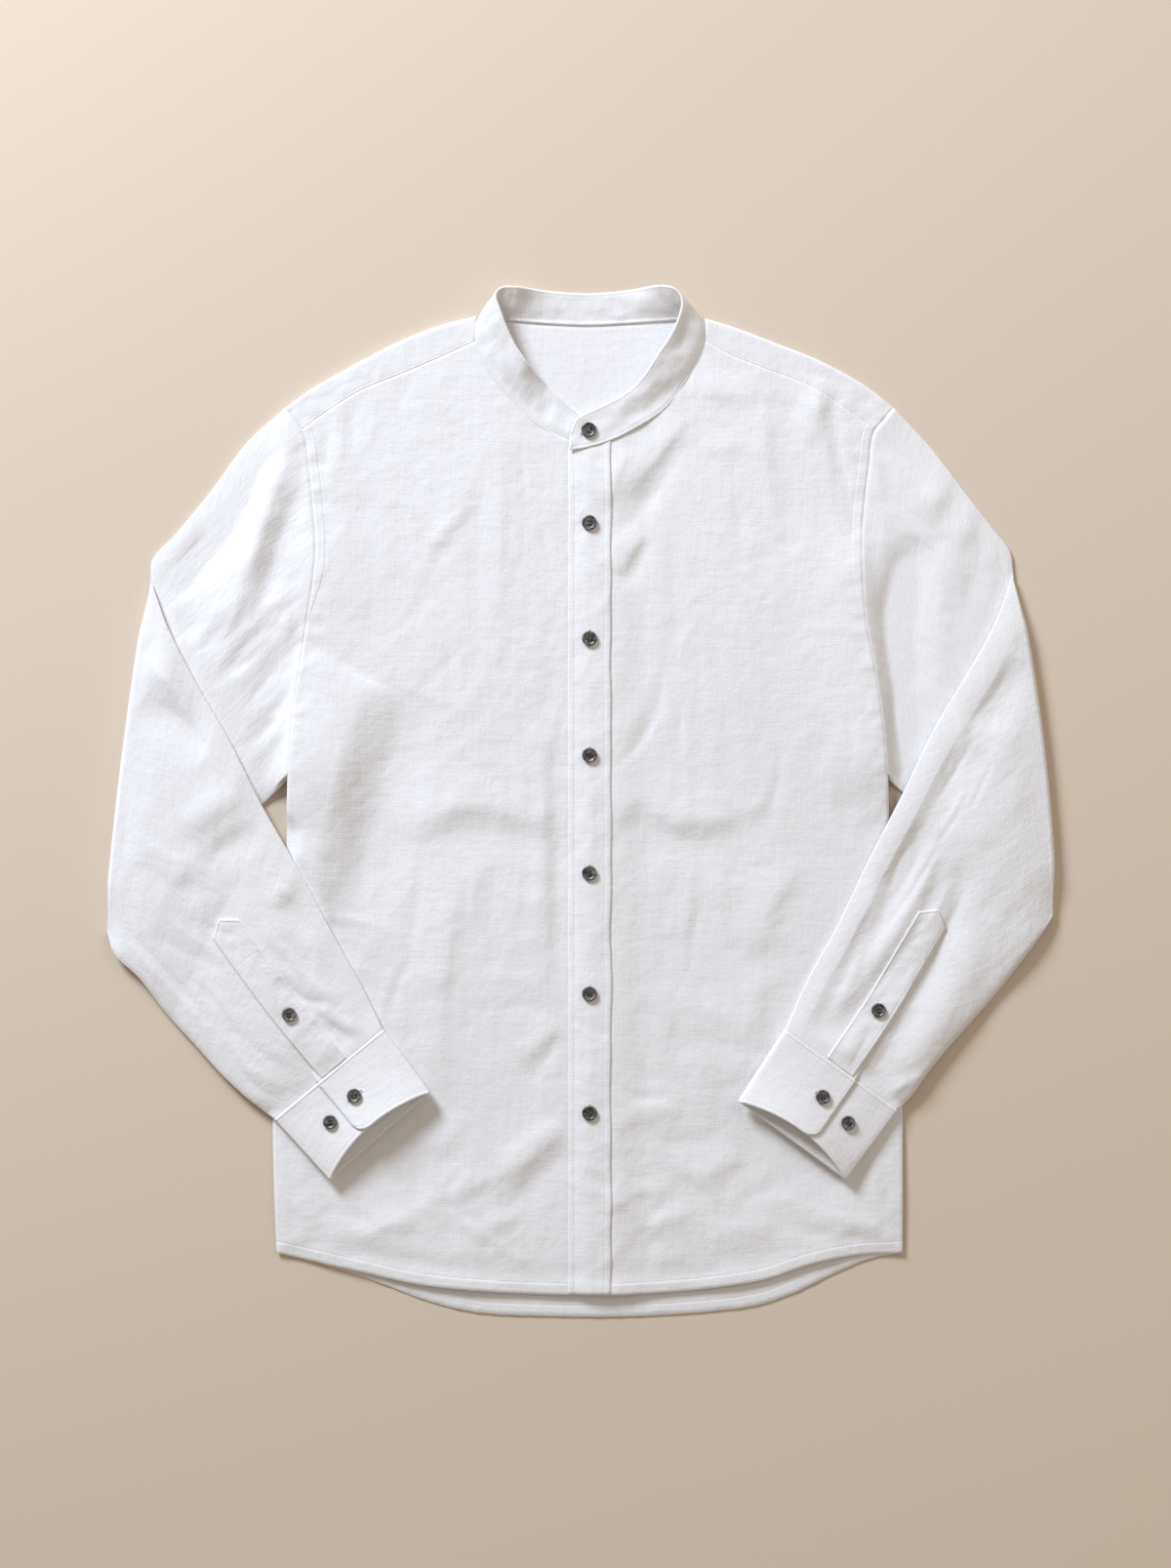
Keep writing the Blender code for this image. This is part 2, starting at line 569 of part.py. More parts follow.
# ---------------------------------------------------------------- sleeves
class Sleeve:
    """A sleeve's flattened tube, folded back at the elbow.

    A place on it is given by s, how far along the upper sleeve or the forearm it lies, and by t, how
    far across from the over-arm edge to the underarm edge.
    """

    def __init__(self, side):
        self.side = side
        self.armhole = ARMHOLE[side]
        self.upper = np.array(UPPER_SLEEVES[side], float)
        self.fore = np.array(FOREARMS[side], float)
        self.folds = SLEEVE_FOLDS[side]
        elbow = self.upper[-1]
        line = elbow[2:] - elbow[:2]
        self.outward = SIGN[side] * np.array([-line[1], line[0]]) / np.linalg.norm(line)
        upper_outline = np.vstack([spline(self.armhole, np.linspace(0, 1, 12)),
                                   self.upper[1:, 2:], self.upper[::-1, :2]])
        self.supports = (upper_outline, closed(BODY_OUTLINE))
        self.seam = aside(spline(self.armhole, SEAM_SAMPLES), GAP * SIGN[side])
        under_edge = self.upper[1, 2:] - self.upper[0, 2:]
        self.seam[-1] += under_edge / np.linalg.norm(under_edge) * CLOTH
        column = SLIT_COLUMN[side]
        self.slit_t = FRONT_FRACTIONS[side][column:column + 2].mean()

    def across(self, table, s, t):
        """Places between the two edges of a table."""
        rows = spline(table, s, even=True)
        return rows[..., :2] * (1 - t)[..., None] + rows[..., 2:] * t[..., None]

    def upper_plan(self, s, t):
        """Where the upper sleeve lies, seen from above."""
        chord = self.upper[0, :2] * (1 - t)[..., None] + self.upper[0, 2:] * t[..., None]
        seam = np.stack([np.interp(t, SEAM_SAMPLES, self.seam[:, i]) for i in (0, 1)], axis=-1)
        bulge = (seam - chord) * ((1 - s) ** 2)[..., None]
        bow = ELBOW_BOW * 4 * t * (1 - t) * s ** 3
        return self.across(self.upper, s, t) + bulge + bow[..., None] * self.outward

    def upper_low(self, s, plan):
        """Middle height of the upper sleeve's lower layer, which lies on the surface."""
        return np.full(s.shape, LOW)

    def upper_top(self, s, t, plan):
        """Middle height of the upper sleeve's upper layer."""
        edge = 1 + (ELBOW_EDGE - 1) * smooth(s)
        puff = SLEEVE_PUFF * np.exp(-((s - 0.32) / 0.25) ** 2 - ((t - 0.4) / 0.25) ** 2)
        free = smooth(s / 0.3) * smooth((1 - s) / 0.3) * 4 * t * (1 - t)
        own = LOW + 2 * edge + puff * smooth((1 - s) / 0.3)
        own += free * fold_height(self.folds, plan[..., 0], plan[..., 1])
        seam = spline(self.armhole, t)
        sewn = top_layer(seam[..., 0], seam[..., 1])
        share = smooth(s / 0.3)
        return sewn * (1 - share) + own * share

    def fore_plan(self, s, t):
        """Where the forearm lies, seen from above."""
        bow = ELBOW_BOW * 4 * t * (1 - t) * (1 - s) ** 3
        return self.across(self.fore, s, t) + bow[..., None] * self.outward

    def fore_low(self, s, plan):
        """Middle height of the forearm's lower layer: up on the shirt, down beside it."""
        x, y = plan[..., 0], plan[..., 1]
        out = np.minimum(*(distance_to(outline, x, y) for outline in self.supports))
        held = inside(self.supports[0], x, y) | inside(self.supports[1], x, y)
        support = np.where(held, 1.0, 1 - smooth(out / FOREARM_FALL))
        start = LOW + 2 * ELBOW_EDGE + 2 * ELBOW_TURN
        lift = start + (CUFF_FOOT - start) * smooth(s)
        near_fold = 1 - smooth(s / 0.12)
        return LOW + (lift - LOW) * np.maximum(support, near_fold)

    def fore_top(self, s, t, plan):
        """Middle height of the forearm's upper layer."""
        folds = fold_height(self.folds, plan[..., 0], plan[..., 1])
        free = smooth(s / 0.15) * smooth((1 - s) / 0.05) * (1 - (2 * t - 1) ** 6)
        puff = FOREARM_PUFF * smooth(s / 0.2) * 4 * t * (1 - t)
        lap = CUFF_LAP * smooth((s - 0.8) / 0.2) * (t > self.slit_t)
        return self.fore_low(s, plan) + 2 * ELBOW_EDGE + puff + folds * free - lap

    def on_forearm(self, place):
        """The s and t of places on the forearm, by stepping towards them."""
        s, t = np.full(place.shape[:-1], 0.7), np.full(place.shape[:-1], 0.5)
        step = 1e-4
        for _ in range(12):
            here = self.fore_plan(s, t)
            to_s = (self.fore_plan(s + step, t) - here) / step
            to_t = (self.fore_plan(s, t + step) - here) / step
            left = place - here
            area = to_s[..., 0] * to_t[..., 1] - to_s[..., 1] * to_t[..., 0]
            s = s + (left[..., 0] * to_t[..., 1] - left[..., 1] * to_t[..., 0]) / area
            t = t + (to_s[..., 0] * left[..., 1] - to_s[..., 1] * left[..., 0]) / area
        return s, t

    def ring(self, plan_of, low_of, top_of, steps):
        """One ring of middle points for each s: upper layer, underarm edge, lower layer, other edge."""
        def grid(t):
            s, t = np.meshgrid(steps, t, indexing="ij")
            plan = plan_of(s, t)
            return plan, low_of(s, plan), top_of(s, t, plan)

        top_plan, _, top_z = grid(FRONT_FRACTIONS[self.side][:-1])
        low_plan, low_z, _ = grid(BACK_FRACTIONS[self.side][:-1])
        ends, end_low, end_top = grid([0.0, 1.0])
        rings = []
        for k in range(len(steps)):
            turns = []
            for end, beside in ((1, top_plan[k, -1]), (0, top_plan[k, 0])):
                radius = (end_top[k, end] - end_low[k, end]) / 2
                inward = (beside - ends[k, end]) / np.linalg.norm(beside - ends[k, end])
                angles = np.radians([90, 30, -30, -90] if end else [-90, -30, 30, 90])
                turns.append([[*(ends[k, end] + inward * radius * (1 - math.cos(angle))),
                               end_low[k, end] + radius * (1 + math.sin(angle))] for angle in angles])
            upper = np.column_stack([top_plan[k], top_z[k]])
            lower = np.column_stack([low_plan[k], low_z[k]])[::-1]
            rings.append(np.vstack([upper, turns[0], lower, turns[1]]))
        return rings

    def rings(self):
        """The whole tube: upper sleeve, turn at the elbow, forearm."""
        upper = self.ring(self.upper_plan, self.upper_low, self.upper_top, UPPER_STEPS)
        fore = self.ring(self.fore_plan, self.fore_low, self.fore_top, FORE_STEPS)
        axis_z = LOW + 2 * ELBOW_EDGE + ELBOW_TURN
        elbow = upper[-1]
        ends = self.upper[-1].reshape(2, 2)
        to_end = np.min([np.linalg.norm(elbow[:, :2] - end, axis=1) for end in ends], axis=0)
        radius = axis_z - elbow[:, 2]
        reach = radius - (radius - ELBOW_TURN) * ELBOW_THINNING * (1 - smooth(to_end / ELBOW_CORNER))
        turned = []
        for angle in np.linspace(0, math.pi, ELBOW_TURN_STEPS + 2)[1:]:
            place = elbow[:, :2] + self.outward * (reach * math.sin(angle))[:, None]
            turned.append(np.column_stack([place, axis_z - radius * math.cos(angle)]))
        return np.array(upper + turned + fore[1:])


def closed(outline):
    return np.vstack([outline, outline[:1]])


def build_sleeve(side, linen, root):
    """The sleeve's tube, slit under its placket down to the cuff."""
    sleeve = Sleeve(side)
    points = sleeve.rings()
    kept = np.ones((len(points) - 1, points.shape[1]), bool)
    slit_s = SLEEVE_PLACKETS[side][0][0] + SLIT_ABOVE_TIP
    fore_start = len(UPPER_STEPS) + ELBOW_TURN_STEPS
    kept[fore_start + np.searchsorted(FORE_STEPS, slit_s):, SLIT_COLUMN[side]] = False
    points[-1, :, :2] += (points[-2, :, :2] - points[-1, :, :2]) * SEAM_SHORT
    cloth_solid(f"sleeve_{side}", points, CLOTH, linen, root, kept=kept, ring=True)
    return sleeve


def build_sleeve_placket(sleeve, linen, root):
    """The strip over the slit, with a pointed end, made from the sleeve's points moved up."""
    s, t = np.array(SLEEVE_PLACKETS[sleeve.side]).T
    line = spline(sleeve.fore_plan(s, t), np.linspace(0, 1, 13))
    along = np.gradient(line, axis=0)
    along /= np.linalg.norm(along, axis=1)[:, None]
    across = np.array([-1, -0.5, 0, 0.5, 1])
    plan = line[:, None] + np.stack([-along[:, 1], along[:, 0]], axis=1)[:, None] * (
        across * PLACKET_WIDTH / 2)[None, :, None]
    plan[0] += along[0] * (PLACKET_TIP * np.abs(across))[:, None]
    s, t = sleeve.on_forearm(plan)
    s = np.minimum(s, PLACKET_FOOT)
    plan = sleeve.fore_plan(s, t)
    points = with_height(plan, sleeve.fore_top(s, np.minimum(t, sleeve.slit_t), plan) + CLOTH + 3 * GAP)
    cloth_solid(f"sleeve_placket_{sleeve.side}", points, CLOTH, linen, root)
    return points


# ---------------------------------------------------------------- cuffs
def cuff_point(side, t, depth, level):
    """A point of a cuff: across from its inner edge, down from its seam, and over, under or below."""
    seam_in, seam_out, mouth_in, mouth_out = (np.array(p, float) for p in CUFFS[side])
    arch = 4 * t * (1 - t)
    pull = 0 if level == "below" else CUFF_PULL * arch / np.linalg.norm(mouth_in - seam_in)
    v = CUFF_SEAM + depth * (1 - CUFF_SEAM - pull)
    place = (1 - v) * ((1 - t) * seam_in + t * seam_out) + v * ((1 - t) * mouth_in + t * mouth_out)
    height = CUFF_FOOT
    if level != "below":
        height += 2 * CUFF_EDGE + (CUFF_BOW[0] + CUFF_BOW[1] * depth ** 2) * arch
    if level == "under":
        from_edge = smooth((1 - t) / 0.12)
        height -= CUFF_LAP * from_edge + 2 * (CUFF_EDGE - CUFF_UNDER_EDGE) * (1 - from_edge)
    return np.array([*place, height])


def cuff_turn(side, t, depth, radius, angle):
    """A point of the turned inner or outer edge of a cuff."""
    base = cuff_point(side, t, depth, "below")
    across = cuff_point(side, 0.5, depth, "below") - base
    across /= np.linalg.norm(across)
    place = base + across * radius * (1 - math.cos(angle))
    place[2] = CUFF_FOOT + radius * (1 + math.sin(angle))
    return place


def build_cuff(side, linen, root):
    """A strip that runs from its under end, round the lower layer, to its over end."""
    seam_in, seam_out, mouth_in, _ = CUFFS[side]
    width, cuff_depth = math.dist(seam_in, seam_out), math.dist(seam_in, mouth_in)
    turn = np.radians([-90, -30, 30, 90])
    free_t = CUFF_END[side]
    corner_t = [free_t - part * CUFF_CORNER / width for part in (1, 0.6, 0.25, 0)]
    depths = np.linspace(0, 1, 4)
    columns = []
    for t in (0.36, 0.52, 0.68, 0.84):
        columns.append([cuff_point(side, t, d, "under") for d in depths])
    for angle in turn[::-1]:
        columns.append([cuff_turn(side, 1.0, d, CUFF_UNDER_EDGE, angle) for d in depths])
    for t in (0.84, 0.6, 0.36, 0.14):
        columns.append([cuff_point(side, t, d, "below") for d in depths])
    for angle in turn:
        columns.append([cuff_turn(side, 0.0, d, CUFF_EDGE, angle) for d in depths])
    for t in (0.12, 0.24, 0.36):
        columns.append([cuff_point(side, t, d, "over") for d in depths])
    for part, t in zip((1, 0.6, 0.25, 0), corner_t):
        short = CUFF_CORNER * (1 - math.sqrt(1 - (1 - part) ** 2)) / cuff_depth
        columns.append([cuff_point(side, t, d * (1 - short), "over") for d in depths])
    cloth_solid(f"cuff_{side}", np.array(columns), BAND, linen, root)


# ---------------------------------------------------------------- collar
def collar_points(steps_round, steps_up):
    """Rows round the neck and columns up the band, bowed outward a little between its edges."""
    rows = spline(COLLAR, np.linspace(0, 1, steps_round + 1), even=True)
    up = np.linspace(0, 1, steps_up + 1)
    grid = rows[:, None, :3] * (1 - up)[None, :, None] + rows[:, None, 3:] * up[None, :, None]
    rise = rows[:, 3:] - rows[:, :3]
    round_neck = np.gradient(rows[:, :3] + rows[:, 3:], axis=0)
    out = np.cross(rise, round_neck)
    out /= np.linalg.norm(out, axis=1)[:, None]
    out *= np.sign((out * [0, 0, 1]).sum(axis=1))[:, None]
    bow = COLLAR_BOW * np.abs(rise[:, 2])
    return grid + out[:, None] * (bow[:, None] * np.sin(np.pi * up)[None])[..., None]


def build_collar(linen, root):
    """The band: its under end is square and hidden, and its over end is rounded."""
    points = collar_points(*COLLAR_STEPS)
    height = np.linalg.norm(points[-1, -1] - points[-1, 0])
    for row, reach in ((-1, 0.0), (-2, 0.62)):
        short = (1 - math.sqrt(1 - (1 - reach) ** 2)) * COLLAR_CORNER / height
        column = points[row]
        up = np.linspace(0, 1 - short, len(column))
        points[row] = np.stack([np.interp(up, np.linspace(0, 1, len(column)), column[:, i])
                                for i in range(3)], axis=1)
    cloth_solid("collar_band", points.transpose(1, 0, 2), BAND, linen, root, flat_rows=(0,))


# ---------------------------------------------------------------- buttons
def button_mesh(diameter, material):
    """A turned four-hole button, dished on top; its origin is the middle of its flat back."""
    outline = [  # share of the radius, share of the thickness
        (0.86, 0.0), (1.0, 0.25), (1.0, 0.7), (0.86, 1.0), (0.62, 0.68),
    ]
    steps = 12
    blank = bmesh.new()
    rings = []
    for share, height in outline:
        ring = []
        for k in range(steps):
            angle = 2 * math.pi * k / steps
            radius = diameter / 2 * share * MM
            ring.append(blank.verts.new((radius * math.cos(angle), radius * math.sin(angle),
                                         height * BUTTON_THICKNESS * MM)))
        rings.append(ring)
    for lower, upper in zip(rings[:-1], rings[1:]):
        for k in range(steps):
            beside = (k + 1) % steps
            blank.faces.new([lower[k], lower[beside], upper[beside], upper[k]])
    blank.faces.new(rings[0][::-1])
    blank.faces.new(rings[-1])
    body = mesh_object("button_blank", blank)

    holes = bmesh.new()
    for sign_x in (-1, 1):
        for sign_y in (-1, 1):
            hole = bmesh.ops.create_cone(holes, cap_ends=True, segments=5, radius1=HOLE_RADIUS * MM,
                                         radius2=HOLE_RADIUS * MM, depth=4 * BUTTON_THICKNESS * MM)
            bmesh.ops.translate(holes, verts=hole["verts"],
                                vec=(sign_x * HOLE_OFFSET * MM, sign_y * HOLE_OFFSET * MM, 0))
    cutter = mesh_object("button_holes", holes)
    cutter.hide_render = True
    cutter.display_type = "WIRE"
    cut = body.modifiers.new("holes", "BOOLEAN")
    cut.operation = "DIFFERENCE"
    cut.solver = "EXACT"
    cut.object = cutter
    bpy.context.view_layer.update()
    graph = bpy.context.evaluated_depsgraph_get()
    mesh = bpy.data.meshes.new_from_object(body.evaluated_get(graph))
    mesh.name = f"button_{diameter:.0f}"
    for spare in (body, cutter):
        bpy.data.objects.remove(spare)
    mesh.materials.clear()
    mesh.materials.append(material)
    mesh.shade_smooth()
    mesh.set_sharp_from_angle(angle=math.radians(35))
    return mesh


def mesh_object(name, shape):
    bmesh.ops.recalc_face_normals(shape, faces=shape.faces[:])
    mesh = bpy.data.meshes.new(name)
    shape.to_mesh(mesh)
    shape.free()
    piece = bpy.data.objects.new(name, mesh)
    bpy.context.scene.collection.objects.link(piece)
    return piece


def place_button(name, mesh, point, normal, lift, root):
    """A button whose flat back lies just above a point of the cloth's middle surface."""
    button = add_object(name, mesh, root)
    normal = Vector(normal).normalized()
    button.location = (Vector(point) + normal * lift) * MM
    button.rotation_mode = "QUATERNION"
    button.rotation_quaternion = normal.to_track_quat("Z", "Y")


def build_buttons(front_mesh, sleeve_mesh, sleeve_plackets, root):
    on_front = CLOTH / 2 + 1.5 * GAP
    on_strip = CLOTH / 2 + 2 * GAP
    on_band = BAND / 2 + 2 * GAP
    for number, y in enumerate(FRONT_BUTTONS_Y, start=1):
        x = np.array([BUTTON_X])
        point = (BUTTON_X, y, placket_height(x, np.array([float(y)]))[0])
        place_button(f"button_front_{number}", front_mesh, point, (0, 0, 1), on_front, root)
    band = collar_points(*COLLAR_STEPS)
    point = 0.75 * band[-3, 2] + 0.25 * band[-4, 2]
    normal = np.cross(band[-2, 2] - band[-5, 2], band[-3, 3] - band[-3, 1])
    place_button("button_collar", front_mesh, point, normal * np.sign(normal[2]), on_band, root)
    for side, strip in sleeve_plackets.items():
        above, below = strip[SLEEVE_BUTTON_ROW], strip[SLEEVE_BUTTON_ROW + 1]
        normal = np.cross(below[2] - above[2], above[3] - above[1])
        place_button(f"button_sleeve_{side}", sleeve_mesh, (above[2] + below[2]) / 2,
                     normal * np.sign(normal[2]), on_strip, root)
        for level, (t, depth) in CUFF_BUTTONS[side].items():
            point = cuff_point(side, t, depth, level)
            across = cuff_point(side, t + 0.05, depth, level) - cuff_point(side, t - 0.05, depth, level)
            down = cuff_point(side, t, depth + 0.05, level) - cuff_point(side, t, depth - 0.05, level)
            normal = np.cross(across, down)
            place_button(f"button_cuff_{side}_{level}", sleeve_mesh, point, normal * np.sign(normal[2]),
                         on_band, root)


# ---------------------------------------------------------------- the shirt
def main():
    for old in list(bpy.data.objects):
        bpy.data.objects.remove(old)
    linen = finish("white_linen", (0.87, 0.86, 0.87), 0.9)
    horn = finish("dark_horn", (0.045, 0.045, 0.05), 0.35)
    root = bpy.data.objects.new("shirt", None)
    root.location = (CENTRE_X * MM, CENTRE_Y * MM, 0)
    bpy.context.scene.collection.objects.link(root)

    build_back(linen, root)
    build_yoke(linen, root)
    build_front("right", linen, root)
    build_front("left", linen, root)
    build_front_placket(linen, root)
    build_collar(linen, root)
    plackets = {}
    for side in ("right", "left"):
        sleeve = build_sleeve(side, linen, root)
        plackets[side] = build_sleeve_placket(sleeve, linen, root)
        build_cuff(side, linen, root)
    build_buttons(button_mesh(FRONT_BUTTON, horn), button_mesh(SLEEVE_BUTTON, horn), plackets, root)


main()
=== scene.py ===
# %% [markdown]
# # A mandarin collar shirt in white linen, buttoned and laid flat
# The shirt lies on its back with both sleeves folded at the elbow, so the cuffs rest on the fronts.
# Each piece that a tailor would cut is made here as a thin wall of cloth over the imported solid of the
# same name. The frame is loaded first: it says where the solids are, and its box is the shirt's size.

# %% Load the frame
import math

import bmesh
import bpy
import numpy as np
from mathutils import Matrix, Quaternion, Vector


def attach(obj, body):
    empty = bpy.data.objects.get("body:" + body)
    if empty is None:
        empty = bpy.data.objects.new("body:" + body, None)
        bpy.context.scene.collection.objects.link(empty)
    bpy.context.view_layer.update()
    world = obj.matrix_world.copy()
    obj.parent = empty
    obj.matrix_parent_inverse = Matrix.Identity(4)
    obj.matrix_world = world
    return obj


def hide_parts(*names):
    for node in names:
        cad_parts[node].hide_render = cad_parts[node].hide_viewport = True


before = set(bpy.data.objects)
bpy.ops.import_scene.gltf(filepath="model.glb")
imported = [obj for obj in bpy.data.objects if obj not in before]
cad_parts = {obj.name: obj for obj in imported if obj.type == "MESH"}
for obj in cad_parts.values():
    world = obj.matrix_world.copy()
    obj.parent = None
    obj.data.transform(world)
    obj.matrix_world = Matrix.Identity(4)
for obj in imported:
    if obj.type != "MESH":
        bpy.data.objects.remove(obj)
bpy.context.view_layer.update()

# %% [markdown]
# ## The shirt's measurements
# Cloth has no thickness worth modelling on its own, but where its edges run and how high each layer
# lies on the one below decides everything else. These tables hold both, in millimetres: x runs out
# from the centre front, y up the body and z up from the floor. Right and left are the wearer's, and
# the right side is at -x. Tables keep such numbers apart from the code that turns them into surfaces.

# %% Heights and edges of the body
MM = 0.001
CENTRE = (6.95, 1.7)  # centre front, from the middle of the laid-out shirt
LOW = 0.6  # middle of a layer that lies on the floor
TOP = 2.1  # middle of a layer that lies on that one
WALL = 0.8  # one layer of linen
DOUBLE = 1.5  # two layers with interfacing between
LOFT = 2.4  # air under the fronts
CHEST_LOFT = 1.5  # more air on both sides of the chest
CHEST = (105.0, 110.0)  # where: distance from the centre front, height up the body
CHEST_REACH = (70.0, 130.0)  # how far that air reaches across and up
SEAM_RISE = {"right": 1.6, "left": 5.4}  # how far the armhole seams stand above the sleeves
SIGN = {"right": -1, "left": 1}  # the way out from the centre
# columns y, right side x, left side x
ARMHOLES = [
    (313, -242, 243), (296, -229, 228), (266, -223.5, 223), (232, -220, 219), (200, -218, 217),
    (172, -220.5, 218), (145, -225, 220), (113, -229.5, 226), (69, -236, 233), (17, -239.5, 238),
]
SIDE_SEAMS = [
    (17, -239.5, 238), (-62, -242, 241), (-155, -247, 246), (-257, -252, 250), (-307, -251, 250),
    (-361, -249, 250),
]
FRONT_HEM = [
    (-249, -361), (-214, -369), (-178, -377), (-142, -385), (-89, -391), (-30, -394),
    (40, -393.5), (105, -388), (141, -382), (177, -370), (214, -363), (250, -361),
]
BACK_HEM = [
    (-249, -361), (-214, -370), (-185, -379), (-160, -388), (-134, -398), (-96, -408), (-35, -412),
    (51, -411.5), (100, -408), (140, -402), (160, -395), (200, -376), (228, -365), (250, -361),
]
BACK_YOKE_SEAM_Y = 284.0
# columns shoulder fold x, y, front yoke seam x, y
SHOULDERS = {
    "right": [
        (-90, 386, -91.3, 366), (-120, 378, -120, 353), (-155, 364, -150, 340), (-191, 345, -184, 326),
        (-227, 324, -211, 309), (-242, 313, -229, 296),
    ],
    "left": [
        (93, 384, 93.4, 366), (110, 379, 112, 356), (145, 366, 142, 344), (185, 350, 176, 331),
        (224, 328, 206, 312), (243, 313, 228, 296),
    ],
}

# %% Sleeves
# columns over-arm edge x, y, underarm edge x, y
UPPER_SLEEVES = {
    "right": [
        (-242, 313, -239.5, 17), (-273, 285, -262, -4), (-301, 247, -293, -28), (-329, 213, -325, -53),
        (-348, 192, -355, -80), (-348.5, 172, -383.5, -107),
    ],
    "left": [
        (243, 313, 238, 17), (273, 281, 258, 0), (299, 247, 285, -22), (322, 217, 313, -45),
        (336, 198, 341, -67), (337.5, 178, 369.5, -93),
    ],
}
FOREARMS = {
    "right": [
        (-348.5, 172, -383.5, -107), (-335, 136, -377, -124), (-313, 93, -358, -142),
        (-287, 48, -336, -171), (-262, -2, -314, -195), (-228, -62, -294, -217),
        (-202, -111, -276, -234), (-183, -145, -262, -245), (-164, -183, -250, -254),
    ],
    "left": [
        (337.5, 178, 369.5, -93), (324, 142, 358, -110), (304, 105, 343, -130), (277, 60, 326, -152),
        (250, 5, 306, -175), (222, -50, 286, -197), (198, -100, 269, -218), (177, -138, 257, -235),
        (156, -183, 245, -247),
    ],
}
ELBOW_BOW = {"right": 3.0, "left": 6.0}  # how far the fold bows outward
ELBOW_CORNER = 45.0  # how far the flat corners of the fold reach along it
ELBOW_PRESSED = 18.0  # how far its pressed part reaches into the sleeve
ELBOW_THICK = (1.7, 3.2)  # one sleeve's thickness at a corner of the fold, and in its middle
ELBOW_GAP = (1.1, 2.4)  # the space between the two, at the same places
ARM_LIFT = 7.6  # how high the forearms lie
SLEEVE_THICK = 4.4  # from the lower layer of a sleeve to its upper one
EDGE_THICK = 1.7  # the same at the edges of the tube
SOFT_EDGE = 15.0  # how far a round edge of a sleeve reaches inward
CRISP_EDGE = 5.5  # the same for the pressed underarm edge of a forearm
SLEEVE_PUFF = {"right": 2.4, "left": 0.6}  # air in the upper sleeves
FOREARM_PUFF = 2.2  # air in the forearms
FOREARM_FALL = 125.0  # how far beyond its supports a forearm comes down to the floor

# %% Cuffs and sleeve plackets
# inner seam end, outer seam end, inner mouth corner, outer mouth corner
CUFFS = {
    "right": ((-164, -183), (-250, -254), (-127, -232), (-206, -301)),
    "left": ((156, -183), (245, -247), (119, -239), (204, -301)),
}
CUFF_FOOT = 5.7  # height of a cuff's lower layer at its seam
CUFF_LIFT = 4.6  # how much higher that layer lies at the mouth
CUFF_EDGE = 2.3  # radius of the turned inner edge
CUFF_UNDER_EDGE = 1.2  # radius of the turned outer edge, where only the under end is
CUFF_LAP = 2.2  # how far the under end lies below the over end
CUFF_BOW = (2.0, 4.5)  # how far the over end bows up at its seam, and how much more at the mouth
CUFF_PULL = 11.0  # how far the mouth's upper edge is drawn back by that bow
CUFF_DENTS = 0.35  # depth of its soft dents
CUFF_CORNER = 12.0  # radius of the over end's corner
CUFF_END = {"right": 0.595, "left": 0.625}  # where the over end stops, as a share of the width
# where the cuff buttons sit: shares of the width and of the depth
CUFF_BUTTONS = {
    "right": {"over": (0.45, 0.50), "under": (0.71, 0.55)},
    "left": {"over": (0.495, 0.455), "under": (0.76, 0.515)},
}
# middle line of a sleeve placket: columns along the forearm, across it
SLEEVE_PLACKETS = {
    "right": [(0.475, 0.520), (0.744, 0.485), (1, 0.438)],
    "left": [(0.506, 0.503), (0.60, 0.511), (0.765, 0.511), (1, 0.477)],
}
STRIP_WIDTH = 25.0  # the strip that binds a sleeve's slit
STRIP_TIP = 9.5  # length of its point
STRIP_FOOT = 0.992  # where it meets the cuff, as a share of the forearm
STRIP_BUTTON = 7.5 / 12  # where its button sits, as a share of its length

# %% Collar, front placket and buttons
# the band from its under end round the neck to its over end: columns seam x, y, z, top edge x, y, z
COLLAR = [
    (13, 277.6, 3.0, 12, 302.5, 4.4), (-8, 283.2, 3.0, -6, 307.8, 5.6),
    (-27, 290.9, 3.2, -20, 318, 8.4), (-46, 303.4, 3.3, -34, 331.5, 11.5),
    (-62, 317.4, 3.3, -46, 344, 15), (-78.6, 338.4, 3.3, -58, 360.5, 19),
    (-89.5, 361, 3.3, -66, 377, 22.5), (-91, 375, 3.2, -70.5, 389.5, 24),
    (-88, 384, 1.9, -74, 401, 24), (-80, 384.6, 0.95, -69, 407.5, 22.5),
    (-60, 382.6, 0.85, -55.5, 408, 19.5), (-30, 380.3, 0.85, -28, 405.3, 16.5),
    (0, 379.3, 0.85, 0, 404, 15.5), (30, 380.6, 0.85, 28, 406, 16.5),
    (62, 382.8, 0.85, 54.5, 409, 19.5), (83, 384.4, 0.95, 68, 406.5, 22.5),
    (90.6, 382, 1.9, 73.5, 398, 24), (93.2, 372, 3.2, 72, 385.5, 24),
    (90.5, 357, 3.3, 65.5, 370.7, 22), (79.5, 337.5, 3.3, 55.5, 355.5, 19),
    (62.5, 314.5, 3.6, 41.5, 335, 15.5), (43.6, 300.8, 5.4, 27, 322.5, 12.5),
    (20, 288.2, 6.6, 8, 312.7, 10), (-1, 281.6, 6.7, -7, 305.5, 8.8),
    (-15, 279.6, 6.8, -15.5, 296, 8.2),
]
COLLAR_BOW = 0.05  # how far the band bows outward, as a share of its height
COLLAR_CORNER = 11.0  # radius of its over end's corner
# dents of the band: place along it, rise, length, and the share of its height
COLLAR_DENTS = [(44, 1.0, 9, 0.6), (52, -1.0, 7, 0.3), (150, 0.8, 14, 0.6), (196, -0.9, 13, 0.5),
                (352, -1.5, 14, 0.75), (375, 1.2, 9, 0.4)]
